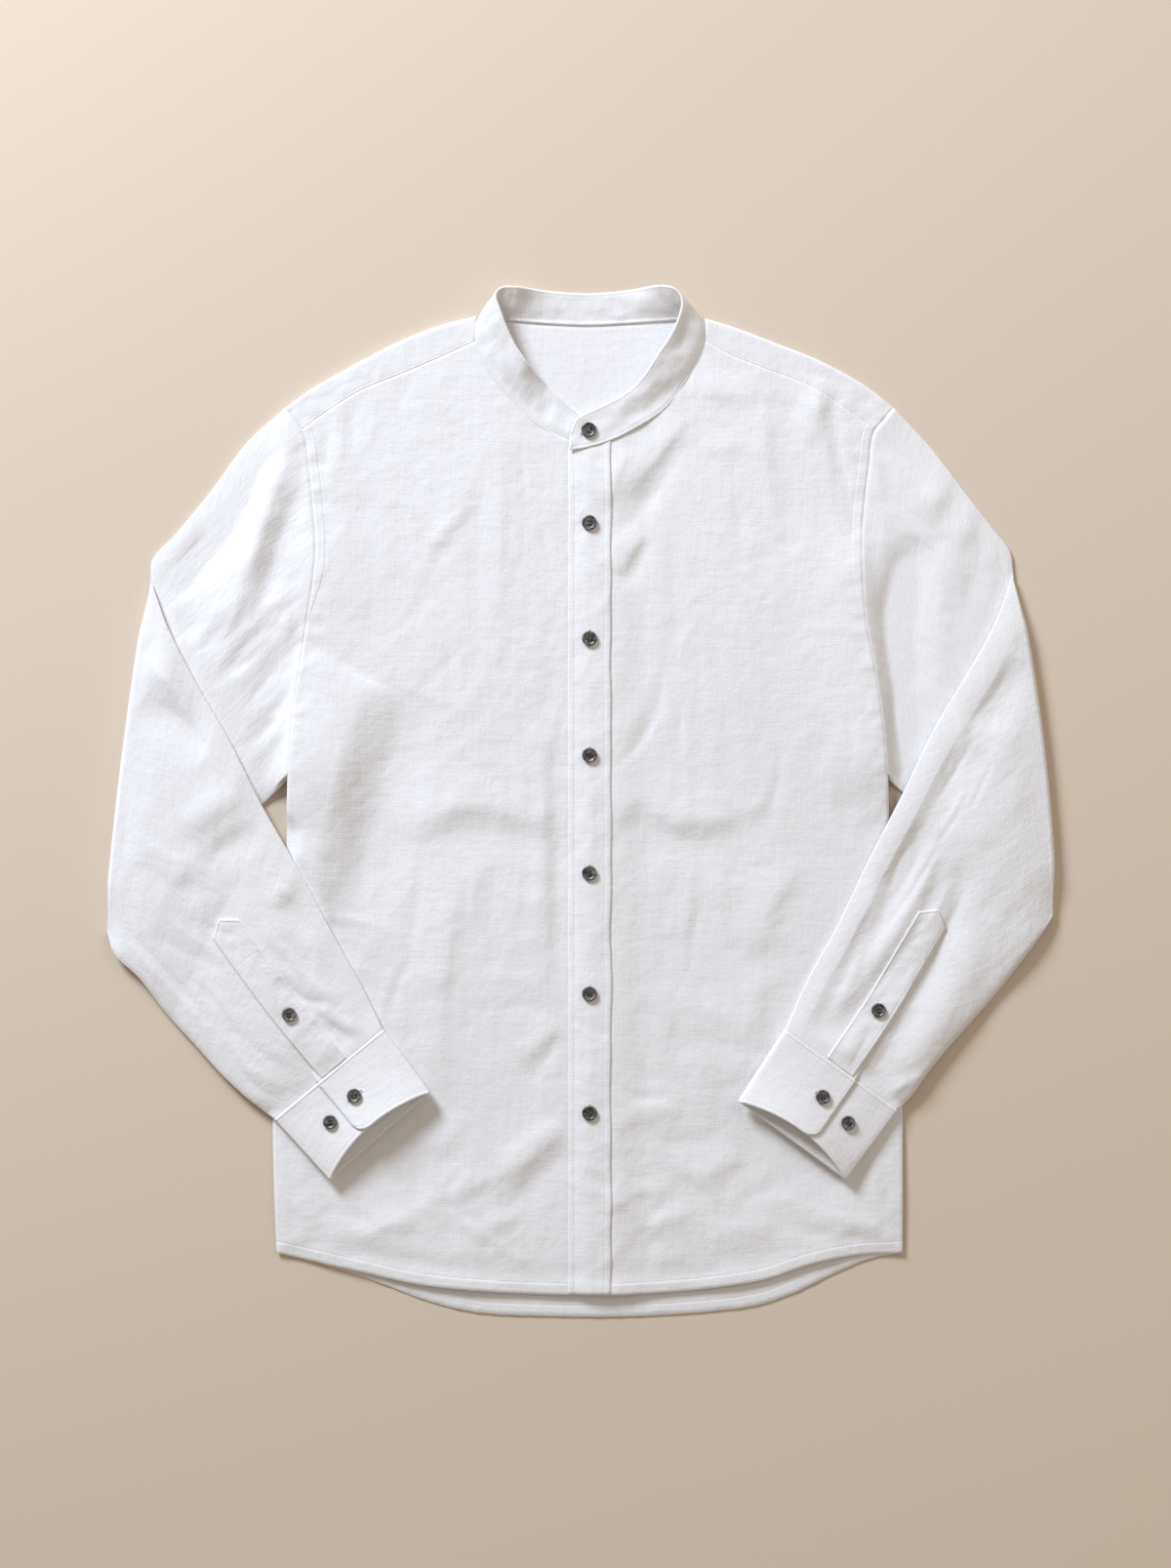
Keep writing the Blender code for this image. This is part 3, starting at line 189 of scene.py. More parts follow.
# where the right end's top edge sinks: lowest place along the band, how far on it is level again, how
# deep it is, and how high the crest beyond it stands
COLLAR_ROLL = (61, 34, 3.9, 2.0)
WELT = 0.8  # the raised seam behind the neck
BAND_OVER = 1.0  # how far the band's foot is lifted off the fronts
NECK_OVERLAP = 1.0  # how far yoke, fronts and placket reach under the band
# first and last row of the band's table that each piece is sewn to
NECK_ROWS = {"right": (6, 0), "yoke": (9, 15), "left": (18, 22.7), "placket": (22, 24)}
PLACKET_LEFT_X, PLACKET_RIGHT_X = -16.0, 17.0  # the front placket's two edges
PLACKET_FOOT_Y = -393.5  # its lower end
OVER_FRONT_X = 5.0  # where the left front ends, under the placket
UNDER_FRONT_X = 13.5  # where the right front ends, under the left one
LAP = 1.9  # how far the right front lifts the left one
LAP_REACH = (20.0, 48.0)  # where the left front begins to come down again, and where it is down
BUTTON_X = 0.5  # the row of front buttons, and each one's height up the body
FRONT_BUTTONS_Y = [221, 129, 36, -58, -154, -249]

# %% [markdown]
# ## Where the cloth is creased
# Linen keeps every crease it is given. A cloth simulation would invent creases of its own, so these
# are listed one by one, each as a soft ridge or trough along a line. Rows hold the rise in millimetres
# (below 0 for a trough), the widths on the left and the right hand of someone who walks along the
# line, and its points. A steep side and a gentle one make a fold lean over, as real ones do, and no two
# have the same length, depth or direction, which makes them look worn in rather than printed.

# %% Creases of the body
CREASES = {}
CREASES["body"] = [
    (9.0, 26, 64, (-176, 98), (-198, 55), (-208, 8), (-218, -42), (-226, -95)),
    (-4.0, 30, 24, (-136, 84), (-150, 45), (-162, 5), (-174, -45), (-186, -95)),
    (1.5, 22, 8, (-176, 2), (-142, -19), (-112, -7), (-80, -5), (-50, -14), (-18, -9)),
    (-1.1, 9, 22, (-168, -22), (-140, -38), (-110, -28), (-80, -25), (-50, -32), (-18, -28)),
    (1.5, 20, 8, (18, -20), (38, 0), (68, -15), (100, -14), (140, -3)),
    (-1.1, 9, 22, (18, -38), (42, -22), (70, -33), (105, -31), (138, -20)),
    (1.5, 8, 20, (-101, -50), (-110, -95), (-117, -150), (-120, -200), (-118, -255)),
    (0.9, 6, 14, (-36, 75), (-37, 20), (-38, -30), (-36, -90), (-37, -165)),
    (-1.1, 12, 6, (-26, 65), (-26, 0), (-25, -60), (-26, -155)),
    (1.8, 10, 20, (168, -48), (147, -80), (138, -122)),
    (1.8, 10, 20, (142, -136), (132, -165), (136, -200)),
    (2.0, 18, 8, (-70, -302), (-46, -283), (-22, -260)),
    (1.2, 12, 6, (-54, -208), (-38, -192), (-23, -178)), (0.9, 7, 15, (60, -145), (62, -180), (58, -220)),
    (0.9, 7, 15, (67, -44), (62, -75), (64, -110)), (2.0, 7, 14, (76, 304), (50, 270), (28, 242)),
    (1.6, 6, 12, (33, 280), (22, 260), (14, 236)), (1.7, 6, 12, (44, 212), (32, 197), (25, 180)),
    (1.6, 14, 9, (80, 330), (105, 326), (134, 322)), (0.9, 12, 7, (90, 283), (115, 281), (140, 278)),
    (1.9, 8, 16, (188, 336), (181, 310), (174, 284)), (0.8, 6, 14, (139, 330), (140, 290), (139, 245)),
    (0.9, 10, 20, (56, 235), (54, 160), (55, 95)), (0.8, 6, 14, (-71, 305), (-70, 240), (-72, 145)),
    (1.1, 12, 24, (-198, 292), (-196, 220), (-190, 145)),
    (1.0, 10, 16, (-92, 262), (-104, 232), (-118, 200)),
    (1.5, 14, 8, (-112, -322), (-92, -306), (-70, -300)),
    (1.4, 13, 8, (-92, -350), (-70, -336), (-46, -330)), (1.5, 14, 8, (12, -330), (34, -312), (58, -306)),
    (1.3, 12, 8, (36, -352), (60, -336), (84, -330)), (1.5, 14, 8, (84, -308), (104, -292), (122, -284)),
    (1.2, 12, 8, (-186, -352), (-160, -338), (-136, -334)),
    (1.2, 12, 8, (-130, -282), (-112, -268), (-98, -250)),
    (1.1, 12, 8, (20, -262), (46, -250), (74, -248)), (1.0, 14, 10, (110, -222), (128, -206), (142, -204)),
    (1.0, 12, 9, (96, -350), (120, -342), (150, -340)), (0.48, 6, 9, (-34, -34), (-40, -81), (-50, -124)),
    (-1.2, 7, 10, (75, 285), (50, 243), (21, 211)), (0.8, 7, 10, (50, 289), (32, 258), (19, 239)),
    (-0.96, 6, 9, (46, 209), (36, 184), (30, 168)),
    (-0.72, 3.5, 5, (60, 106), (55, 75), (42, 48), (21, 26)), (0.4, 5, 8, (50, 106), (42, 75), (23, 44)),
    (-0.48, 3, 4, (-55, 285), (-53, 262), (-49, 239)), (-0.56, 3, 4, (-41, 231), (-35, 211), (-32, 188)),
    (0.32, 5, 8, (-71, 274), (-69, 180), (-73, 63)), (-0.32, 5, 8, (-85, 250), (-89, 161), (-90, 79)),
    (-0.4, 6, 9, (-26, 122), (-34, 79), (-38, 48)), (0.4, 5, 8, (-139, 180), (-112, 219), (-90, 243)),
    (-0.4, 4, 6, (-131, 172), (-106, 213), (-87, 231)),
    (-0.4, 5, 8, (-174, 126), (-147, 141), (-124, 180)), (-0.4, 4, 6, (-147, 79), (-120, 102), (-96, 129)),
    (-0.4, 4, 6, (75, 79), (71, 48), (75, 16)), (0.4, 4, 6, (142, 55), (146, 24), (134, -15)),
    (-0.48, 4, 6, (149, 48), (151, 16), (140, -19)), (-0.4, 4, 6, (118, 239), (122, 211), (121, 184)),
    (-0.48, 4, 6, (198, 289), (205, 250), (216, 196)), (0.4, 4, 6, (188, 285), (194, 239), (202, 188)),
    (0.4, 3.5, 5, (-167, -46), (-171, -66), (-174, -89)),
    (-0.4, 3.5, 5, (-157, -46), (-161, -77), (-168, -108)),
    (0.4, 4, 6, (-139, -50), (-146, -85), (-155, -116)),
    (-0.48, 4, 6, (-131, -50), (-137, -89), (-144, -124)),
    (0.4, 3.5, 5, (-87, -46), (-92, -69), (-92, -101)), (-0.4, 4, 6, (-75, -46), (-77, -85), (-85, -120)),
    (0.4, 4, 6, (-55, -46), (-57, -77), (-63, -108)), (0.4, 4, 6, (34, -50), (35, -77), (32, -108)),
    (-0.48, 5, 8, (68, -50), (64, -77), (59, -108)), (0.48, 5, 8, (79, -46), (81, -77), (75, -116)),
    (-0.4, 4, 6, (93, -73), (83, -108), (79, -144)), (0.4, 4, 6, (106, -54), (105, -85), (106, -116)),
    (-0.56, 4, 6, (-137, -120), (-153, -151), (-161, -175)),
    (0.4, 4, 6, (-149, -124), (-163, -159), (-166, -186)),
    (-0.56, 5, 8, (-73, -171), (-59, -163), (-34, -167)),
    (0.48, 5, 8, (-100, -144), (-73, -140), (-38, -144)),
    (-0.88, 5, 8, (-25, -188), (-36, -210), (-50, -222)),
    (-0.4, 3, 4, (-55, -218), (-38, -222), (-18, -222)),
    (0.96, 9, 14, (-77, -311), (-50, -276), (-16, -257)),
    (-1.44, 9, 14, (-69, -335), (-42, -303), (-16, -280)),
    (0.48, 3, 4, (-98, -335), (-73, -354), (-44, -373)),
    (-0.48, 5, 8, (-104, -280), (-112, -327), (-108, -362)),
    (-0.48, 6, 9, (-131, -257), (-139, -296), (-133, -335)),
    (0.4, 5, 8, (-170, -346), (-139, -327), (-112, -311)),
    (-0.48, 5, 8, (-229, -342), (-202, -327), (-167, -342)),
    (0.4, 4, 6, (-245, -327), (-217, -311), (-202, -288)),
    (0.88, 9, 14, (71, -155), (99, -169), (128, -188)), (-0.96, 8, 12, (40, -163), (64, -183), (75, -210)),
    (-0.56, 5, 8, (83, -186), (106, -196), (126, -198)), (-0.48, 3, 4, (21, -227), (44, -237), (67, -231)),
    (0.4, 3, 4, (28, -247), (52, -243), (75, -249)), (-0.48, 5, 8, (32, -261), (64, -272), (106, -268)),
    (0.48, 4, 6, (83, -288), (99, -311), (118, -327)), (-0.56, 5, 8, (28, -303), (64, -300), (95, -319)),
    (-0.48, 6, 9, (21, -366), (44, -342), (67, -311)), (0.72, 5, 8, (145, -315), (192, -331), (243, -346)),
    (-0.72, 5, 8, (145, -335), (188, -346), (239, -352)),
    (0.48, 4, 6, (153, -354), (181, -352), (212, -342)),
    (0.48, 4, 6, (235, -284), (229, -311), (239, -335)),
    (-0.48, 6, 9, (75, -358), (118, -362), (153, -346)),
    (-0.4, 5, 8, (-186, -362), (-139, -366), (-92, -383)),
    (-0.72, 4, 6, (-213, 311), (-209, 289), (-211, 262)),
    (0.56, 4, 6, (-202, 315), (-198, 289), (-200, 258)),
    (-0.64, 4, 6, (-186, 321), (-188, 301), (-186, 278)),
    (0.48, 4, 6, (-174, 324), (-172, 301), (-174, 282)),
    (-0.48, 5, 8, (-147, 334), (-151, 313), (-147, 289)),
    (-0.72, 4, 6, (194, 324), (197, 293), (206, 243)), (0.56, 4, 6, (184, 328), (186, 297), (194, 254)),
    (-0.64, 6, 9, (165, 324), (161, 309), (171, 282)), (-0.56, 6, 9, (130, 317), (149, 315), (177, 305)),
    (-0.56, 4, 6, (116, 246), (119, 227), (121, 207)), (0.4, 5, 8, (142, 301), (145, 258), (144, 215)),
]

# %% Creases of the sleeves
CREASES["upper sleeve right"] = [
    (2.0, 5, 9, (-344, 190), (-330, 200), (-302, 236), (-272, 276)),
    (-6.0, 11, 18, (-346, 172), (-326, 184), (-309, 200), (-288, 230), (-267, 262), (-246, 294)),
    (3.3, 8, 16, (-230, 304), (-243, 270), (-256, 235), (-268, 195), (-280, 160), (-292, 128)),
    (-3.0, 16, 8, (-217, 292), (-228, 255), (-243, 215), (-255, 175), (-268, 138)),
    (-2.4, 14, 6, (-331, 184), (-325, 150), (-312, 116)),
    (1.3, 5, 10, (-247, 162), (-241, 145), (-238, 128)),
    (-1.12, 7, 10, (-342, 188), (-338, 157), (-328, 126)),
    (0.7, 7, 10, (-328, 180), (-323, 149), (-313, 114)),
    (-0.7, 5, 8, (-235, 161), (-246, 145), (-260, 131)),
    (0.7, 4, 6, (-241, 168), (-256, 153), (-272, 133)),
    (-0.77, 4, 6, (-254, 141), (-274, 122), (-291, 100)),
    (0.63, 4, 6, (-262, 149), (-284, 122), (-299, 106)),
    (-0.77, 4, 6, (-262, 118), (-280, 106), (-301, 92)),
    (0.63, 4, 6, (-246, 129), (-264, 110), (-284, 90)), (-0.7, 4, 6, (-237, 126), (-252, 102), (-274, 75)),
    (0.63, 4, 6, (-235, 102), (-256, 75), (-276, 59)), (-0.7, 4, 6, (-237, 87), (-258, 55), (-278, 40)),
    (0.63, 4, 6, (-239, 71), (-260, 40), (-270, 32)), (-0.56, 4, 6, (-239, 51), (-252, 32), (-260, 16)),
    (-0.56, 4, 6, (-280, 157), (-295, 133), (-309, 110)),
    (0.49, 4, 6, (-291, 161), (-305, 137), (-317, 118)),
    (-0.49, 3, 4, (-303, 180), (-317, 172), (-326, 161)),
    (-0.63, 5, 8, (-229, 149), (-231, 126), (-237, 102)),
]
CREASES["forearm right"] = [
    (3.6, 16, 9, (-356, 112), (-332, 96), (-304, 73)), (-3.6, 9, 20, (-354, 82), (-330, 66), (-299, 46)),
    (1.5, 18, 9, (-322, -28), (-298, -8), (-266, 8)), (-2.0, 9, 20, (-308, -50), (-282, -34), (-252, -18)),
    (1.7, 10, 6, (-254, -86), (-240, -74), (-222, -80)),
    (1.0, 16, 9, (-358, -72), (-330, -60), (-306, -42)), (1.04, 9, 14, (-323, -19), (-303, -3), (-280, 9)),
    (0.96, 10, 15, (-291, -62), (-264, -42), (-248, -30)),
    (-0.72, 7, 10, (-358, 48), (-350, 9), (-338, -19)),
    (-0.96, 9, 14, (-360, -50), (-334, -66), (-311, -73)),
    (0.56, 5, 8, (-363, -27), (-338, -42), (-315, -50)),
    (-1.6, 7, 10, (-246, -73), (-233, -89), (-221, -108)),
    (0.8, 7, 10, (-264, -77), (-245, -97), (-225, -124)),
    (-0.8, 5, 8, (-209, -116), (-198, -140), (-186, -163)),
    (-1.6, 4, 6, (-246, -140), (-229, -157), (-209, -162)),
    (1.12, 4.5, 7, (-241, -128), (-217, -147), (-202, -163)),
    (-1.6, 4, 6, (-225, -163), (-206, -179), (-183, -194)),
    (1.12, 4.5, 7, (-213, -163), (-198, -175), (-178, -186)),
    (-1.28, 4, 6, (-219, -175), (-202, -190), (-190, -200)),
    (0.64, 4, 6, (-262, -97), (-241, -120), (-221, -136)),
    (-0.64, 3, 4, (-256, -116), (-241, -130), (-229, -140)),
    (0.56, 3, 4, (-379, -101), (-350, -132), (-303, -183)),
    (-0.56, 3, 4, (-373, -97), (-342, -130), (-299, -179)),
    (-0.64, 4, 6, (-350, -105), (-323, -120), (-291, -136)),
    (0.64, 4, 6, (-338, -93), (-311, -112), (-287, -128)),
    (-0.56, 3, 4, (-319, -140), (-295, -163), (-280, -190)),
    (0.64, 4, 6, (-303, -147), (-280, -179), (-264, -210)),
    (-0.64, 4, 6, (-284, -179), (-260, -202), (-233, -218)),
    (0.64, 4, 6, (-295, -183), (-268, -214), (-241, -229)),
    (-0.56, 3, 4, (-280, -210), (-264, -229), (-246, -237)),
    (-0.56, 4, 6, (-373, 1), (-369, -30), (-373, -66)), (0.48, 5, 8, (-354, 141), (-350, 110), (-354, 71)),
    (-0.56, 3, 4, (-307, -97), (-295, -105), (-280, -105)),
]
CREASES["upper sleeve left"] = [
    (-2.6, 22, 16, (268, 205), (255, 180), (249, 150), (249, 120)),
    (-5.0, 22, 11, (256, 212), (251, 186), (242, 152), (243, 115), (248, 70), (252, 25), (253, -8)),
    (1.9, 16, 8, (264, 224), (282, 244), (298, 253)), (1.7, 12, 7, (294, 202), (310, 222), (324, 227)),
    (1.7, 10, 20, (287, 208), (291, 180), (294, 152)), (0.9, 5, 9, (225, 285), (229, 262), (231, 238)),
    (-1.05, 8, 12, (301, 219), (315, 213), (329, 215)), (0.84, 9, 14, (290, 266), (309, 239), (325, 215)),
    (-0.98, 5, 8, (325, 194), (331, 185), (337, 180)), (-0.63, 9, 14, (262, 129), (264, 110), (270, 79)),
    (0.56, 8, 12, (278, 188), (278, 141), (282, 94)), (-0.7, 4, 6, (230, 291), (241, 280), (253, 270)),
    (0.56, 4, 6, (237, 274), (255, 250), (266, 227)), (-0.56, 4, 6, (231, 270), (243, 246), (257, 223)),
    (0.42, 4, 6, (227, 235), (235, 215), (235, 196)), (-0.56, 4, 6, (313, 204), (307, 176), (298, 149)),
    (0.56, 6, 9, (325, 196), (319, 168), (309, 141)),
]
CREASES["forearm left"] = [
    (1.5, 12, 12, (335, 155), (318, 118), (300, 88), (286, 70)),
    (-4.4, 18, 9, (342, 112), (320, 76), (300, 54)), (1.0, 4, 4, (282, 67), (292, 60), (304, 57)),
    (3.0, 13, 14, (290, 66), (262, 6), (234, -48), (210, -95), (190, -134), (166, -182)),
    (-5.4, 22, 15, (306, 57), (278, -3), (250, -57), (226, -104), (206, -143), (182, -190)),
    (2.6, 12, 12, (278, -16), (263, -64), (249, -93), (234, -116), (219, -136), (204, -156), (187, -181)),
    (-3.4, 26, 11, (289, -26), (275, -76), (262, -104), (247, -127), (232, -147), (217, -167), (200, -192)),
    (0.8, 5, 5, (246, -56), (230, -86), (219, -112), (209, -140), (196, -174)),
    (0.9, 8, 9, (291, -62), (280, -98), (267, -124)), (-0.6, 2.6, 2.2, (307, 50), (292, 24), (278, 1)),
    (-0.5, 2.4, 2.4, (296, -9), (286, -22), (276, -37)),
    (-0.6, 2.8, 2.2, (278, -36), (264, -62), (252, -85)),
    (-0.6, 2.4, 2.4, (239, -56), (225, -74), (213, -95)),
    (-0.5, 2.6, 2.4, (268, -51), (254, -76), (239, -98)),
    (0.5, 2.6, 2.4, (300, 10), (290, -8), (282, -20)), (0.5, 2.4, 2.6, (262, -40), (250, -60), (238, -76)),
    (-0.5, 2.4, 2.4, (322, 30), (311, 10), (303, -8)),
    (0.5, 2.4, 2.4, (285, -70), (274, -92), (262, -108)),
    (-0.5, 2.2, 2.6, (300, -70), (290, -92), (280, -110)),
    (-3.6, 15, 9, (303, -42), (291, -84), (279, -118), (266, -148), (252, -174), (236, -203), (216, -238)),
    (1.6, 14, 16, (322, -92), (305, -132), (290, -158), (272, -188), (250, -217)),
    (1.2, 5, 5, (266, -220), (251, -226), (236, -238)),
    (-0.2, 5, 8, (291, -176), (273, -200), (255, -221), (241, -239)),
    (0.18, 4, 6, (300, -179), (282, -206), (261, -227), (249, -239)),
    (-0.24, 4, 6, (267, -206), (255, -215), (241, -219), (231, -216)),
    (-0.15, 3.5, 5, (261, -224), (249, -233), (237, -234)), (0.18, 4, 6, (344, 126), (325, 79), (298, 40)),
    (-0.18, 5, 8, (347, 102), (331, 63), (307, 28)), (0.18, 5, 8, (350, 79), (329, 36), (301, 1)),
    (-0.22, 5, 8, (354, 55), (333, 16), (305, -19)), (0.17, 4, 6, (356, 32), (337, -3), (305, -38)),
    (-0.21, 4, 6, (359, 9), (337, -23), (301, -66)), (0.2, 5, 8, (360, -11), (333, -46), (298, -89)),
    (-0.2, 4, 6, (362, -32), (335, -66), (294, -108)), (0.15, 4, 6, (363, -52), (337, -81), (305, -112)),
    (-0.18, 4, 6, (362, -69), (337, -93), (305, -128)), (0.17, 3, 4, (362, -87), (337, -116), (301, -145)),
    (-0.14, 3, 4, (356, -105), (329, -130), (301, -159)),
    (-0.18, 8, 12, (317, 180), (309, 141), (294, 110)),
]
print("creases placed by hand", sum(len(rows) for rows in CREASES.values()))

# %% [markdown]
# ## Lines and smooth steps
# A pattern piece is drawn as a few border points joined by smooth curves. Blender has curve objects
# for that, but plain arrays of points are easier to offset, measure and fill with a grid of cells.

# %% Line helpers
def spline(points, at, even=False):
    """Points of a smooth line through the given ones, at fractions of its length or of its rows."""
    points = np.asarray(points, float)
    steps = np.ones(len(points) - 1) if even else np.linalg.norm(np.diff(points, axis=0), axis=1)
    knots = np.concatenate([[0.0], np.cumsum(steps)])
    knots /= knots[-1]
    slopes = np.gradient(points, knots, axis=0)
    at = np.asarray(at, float)
    i = np.clip(np.searchsorted(knots, at, side="right") - 1, 0, len(knots) - 2)
    step = (knots[i + 1] - knots[i])[..., None]
    u = (at - knots[i])[..., None] / step
    start = (1 + 2 * u) * (1 - u) ** 2 * points[i] + u * (1 - u) ** 2 * step * slopes[i]
    end = u * u * (3 - 2 * u) * points[i + 1] + u * u * (u - 1) * step * slopes[i + 1]
    return start + end


def unit(rows):
    """Rows of numbers scaled to length 1."""
    return rows / np.maximum(np.linalg.norm(rows, axis=-1, keepdims=True), 1e-9)


def at_x(line, x):
    """Heights of a hem at the given places across."""
    dense = spline(line, np.linspace(0, 1, 400))
    return np.interp(x, dense[:, 0], dense[:, 1])


def aside(line, distance):
    """A line moved sideways, to the left of its own direction."""
    along = unit(np.gradient(line, axis=0))
    return line + distance * np.stack([-along[:, 1], along[:, 0]], axis=1)


def length(line):
    return np.linalg.norm(np.diff(line, axis=0), axis=1).sum()


def smooth(value):
    """0 below 0, 1 above 1, and an even rise between."""
    value = np.clip(value, 0, 1)
    return value * value * (3 - 2 * value)


def soft_min(a, b, width=0.6):
    """The lower of two heights, with a rounded change from one to the other."""
    near = np.clip(0.5 + 0.5 * (b - a) / width, 0, 1)
    return b + (a - b) * near - width * near * (1 - near)


def ease_out(q):
    """From 0 to 1, quick at first and level at the end."""
    return 1 - (1 - np.clip(q, 0, 1)) ** 2


def nearest(line, x, y):
    """From places to a line: distance, the side they are on, and how far along the line in mm."""
    best = np.full(np.shape(x), np.inf)
    side = np.ones(np.shape(x))
    run = np.zeros(np.shape(x))
    start = 0.0
    for (ax, ay), (bx, by) in zip(line[:-1], line[1:]):
        dx, dy = bx - ax, by - ay
        span = math.hypot(dx, dy)
        along = np.clip(((x - ax) * dx + (y - ay) * dy) / span ** 2, 0, 1)
        away = np.hypot(x - ax - along * dx, y - ay - along * dy)
        closer = away < best
        best = np.where(closer, away, best)
        side = np.where(closer, np.sign((x - ax) * dy - (y - ay) * dx), side)
        run = np.where(closer, start + along * span, run)
        start += span
    return best, side, run


def inside(outline, x, y):
    """Which places lie inside a closed outline."""
    odd = np.zeros(np.shape(x), bool)
    for (ax, ay), (bx, by) in zip(outline, np.roll(outline, -1, axis=0)):
        crosses = (ay > y) != (by > y)
        odd ^= crosses & (x < ax + (y - ay) * (bx - ax) / (by - ay if by != ay else 1.0))
    return odd


def patch(bottom, top, outer, inner):
    """A grid that fills four border lines: rows from bottom to top, columns from outer to inner."""
    u = np.linspace(0, 1, len(bottom))[None, :, None]
    v = np.linspace(0, 1, len(outer))[:, None, None]
    ruled = (1 - v) * bottom[None] + v * top[None] + (1 - u) * outer[:, None] + u * inner[:, None]
    corners = (1 - v) * ((1 - u) * bottom[0] + u * bottom[-1]) + v * ((1 - u) * top[0] + u * top[-1])
    return ruled - corners


def side_table(table, side):
    """One side of a body table, as points."""
    column = 1 if side == "right" else 2
    return np.array([(row[column], row[0]) for row in table], float)


def closed(outline):
    return np.vstack([outline, outline[:1]])

# %% The body's outline
ARMHOLE = {side: side_table(ARMHOLES, side) for side in SIGN}
SIDE_SEAM = {side: side_table(SIDE_SEAMS, side) for side in SIGN}
SAMPLES = np.linspace(0, 1, 60)


def fraction_at_y(line, y):
    """How far along a falling line a height is reached."""
    at = np.linspace(0, 1, 400)
    return float(np.interp(-y, -spline(line, at)[:, 1], at))


YOKE_FRACTION = {s: fraction_at_y(ARMHOLE[s], SHOULDERS[s][-1][3]) for s in SIGN}
BACK_FRACTION = {s: fraction_at_y(ARMHOLE[s], BACK_YOKE_SEAM_Y) for s in SIGN}
ARMHOLE_LINE = {side: spline(ARMHOLE[side], SAMPLES) for side in SIGN}
SIDE_LINE = {side: spline(SIDE_SEAM[side], SAMPLES) for side in SIGN}
HEM_LINE = spline(FRONT_HEM, SAMPLES)
BODY_OUTLINE = np.vstack([ARMHOLE["right"], SIDE_SEAM["right"][1:], FRONT_HEM[1:-1],
                          SIDE_SEAM["left"][::-1], ARMHOLE["left"][::-1][1:]])


def free_edge(hem_line):
    """The edge of a body panel that isn't sewn to a sleeve: down the right side, along the hem and up."""
    return np.vstack([SIDE_LINE["right"], hem_line[1:-1], SIDE_LINE["left"][::-1]])


def neck_line(piece, count, inward=NECK_OVERLAP):
    """A piece's edge round the neck, just beside the collar's seam."""
    first, last = NECK_ROWS[piece]
    rows = np.linspace(first, last, count) / (len(COLLAR) - 1)
    seam = spline([row[:2] for row in COLLAR], rows, even=True)
    return aside(seam, -inward if last > first else inward)


print("chest", round(ARMHOLE["left"][-1][0] - ARMHOLE["right"][-1][0], 1), "mm from pit to pit")

# %% [markdown]
# ## Crumpled linen
# Besides the large creases, linen is covered with small ones: sharp little ridges with flat facets
# between them. Noise that is folded at zero gives exactly that, because the fold makes a crisp line.
# Blender's Noise texture could do it in the material, but real geometry catches the light from every
# side, so the same idea is written here for the points of the meshes.

# %% Noise and creases as heights
def noise(x, y, seed):
    """Smooth random heights from about -1 to 1, with hills about one unit wide."""
    left, low = np.floor(x).astype(np.int64), np.floor(y).astype(np.int64)
    fx, fy = x - left, y - low

    def corner(dx, dy):
        code = ((left + dx) * 374761393 + (low + dy) * 668265263 + seed * 974634777) & 0xFFFFFFFF
        code = ((code ^ (code >> 13)) * 1274126177) & 0xFFFFFFFF
        angle = ((code ^ (code >> 16)) & 0xFFFF) / 65536 * 2 * math.pi
        return np.cos(angle) * (fx - dx) + np.sin(angle) * (fy - dy)

    u = fx ** 3 * (fx * (6 * fx - 15) + 10)
    v = fy ** 3 * (fy * (6 * fy - 15) + 10)
    lower = corner(0, 0) * (1 - u) + corner(1, 0) * u
    upper = corner(0, 1) * (1 - u) + corner(1, 1) * u
    return 1.6 * (lower * (1 - v) + upper * v)


def ridges(x, y, seed, size, angle=0.0, stretch=1.0):
    """Crisp ridges, 0 to 1, that wander at an angle, with facets of the given size between them."""
    turn, lean = math.cos(math.radians(angle)), math.sin(math.radians(angle))
    along = (x * turn + y * lean) / (size * stretch)
    across = (y * turn - x * lean) / size
    bend = 0.5 * noise(along * 0.8, across * 0.8, seed + 11)
    shift = 0.5 * noise(along * 0.9, across * 0.9, seed + 23)
    return 1 - np.minimum(1.5 * np.abs(noise(along + shift, across + bend, seed)), 1)


BROAD, SMALL, DRAPE = 0.42, 0.26, 0.22  # heights of broad facets, small ones and long soft waves


def crumple(x, y, seed, angle=60.0):
    """Small creases of worn linen, in mm, about 0 on average, more in some places than in others."""
    where = 0.5 + 0.8 * noise(x / 95, y / 95, seed + 5)
    drawn = np.clip(0.6 + noise(x / 130, y / 130, seed + 8), 0.2, 1.4)
    broad = ridges(x, y, seed, 46, angle, 1.5) + ridges(x, y, seed + 1, 40, angle + 65, 1.4) - 1.0
    small = ridges(x, y, seed + 2, 19, angle + 20, 1.7) + ridges(x, y, seed + 3, 17, angle - 50, 1.5) - 1.0
    drape = noise(x / 17, y / 120, seed + 6) + 0.5 * noise(x / 9, y / 60, seed + 7)
    return (BROAD * broad * (0.5 + 0.5 * where) + SMALL * small * np.clip(where, 0.15, 1.1)
            + DRAPE * drape * drawn)


def puckers(run, away, rise, length_and_width, seed, at, reach):
    """Little waves that stitches draw in, strongest at a distance from the edge and gone beyond a reach."""
    long, wide = length_and_width
    return rise * noise(run / long, away / wide, seed) * np.exp(-((away - at) / reach) ** 2)


CREASE_TOP, CREASE_FALL = 0.3, 1.35  # how round a crease is on top, and how fast it falls away
CREASE_UNEVEN, CREASE_ENDS = 0.35, 0.6  # how uneven it is along its line, and how it begins and ends


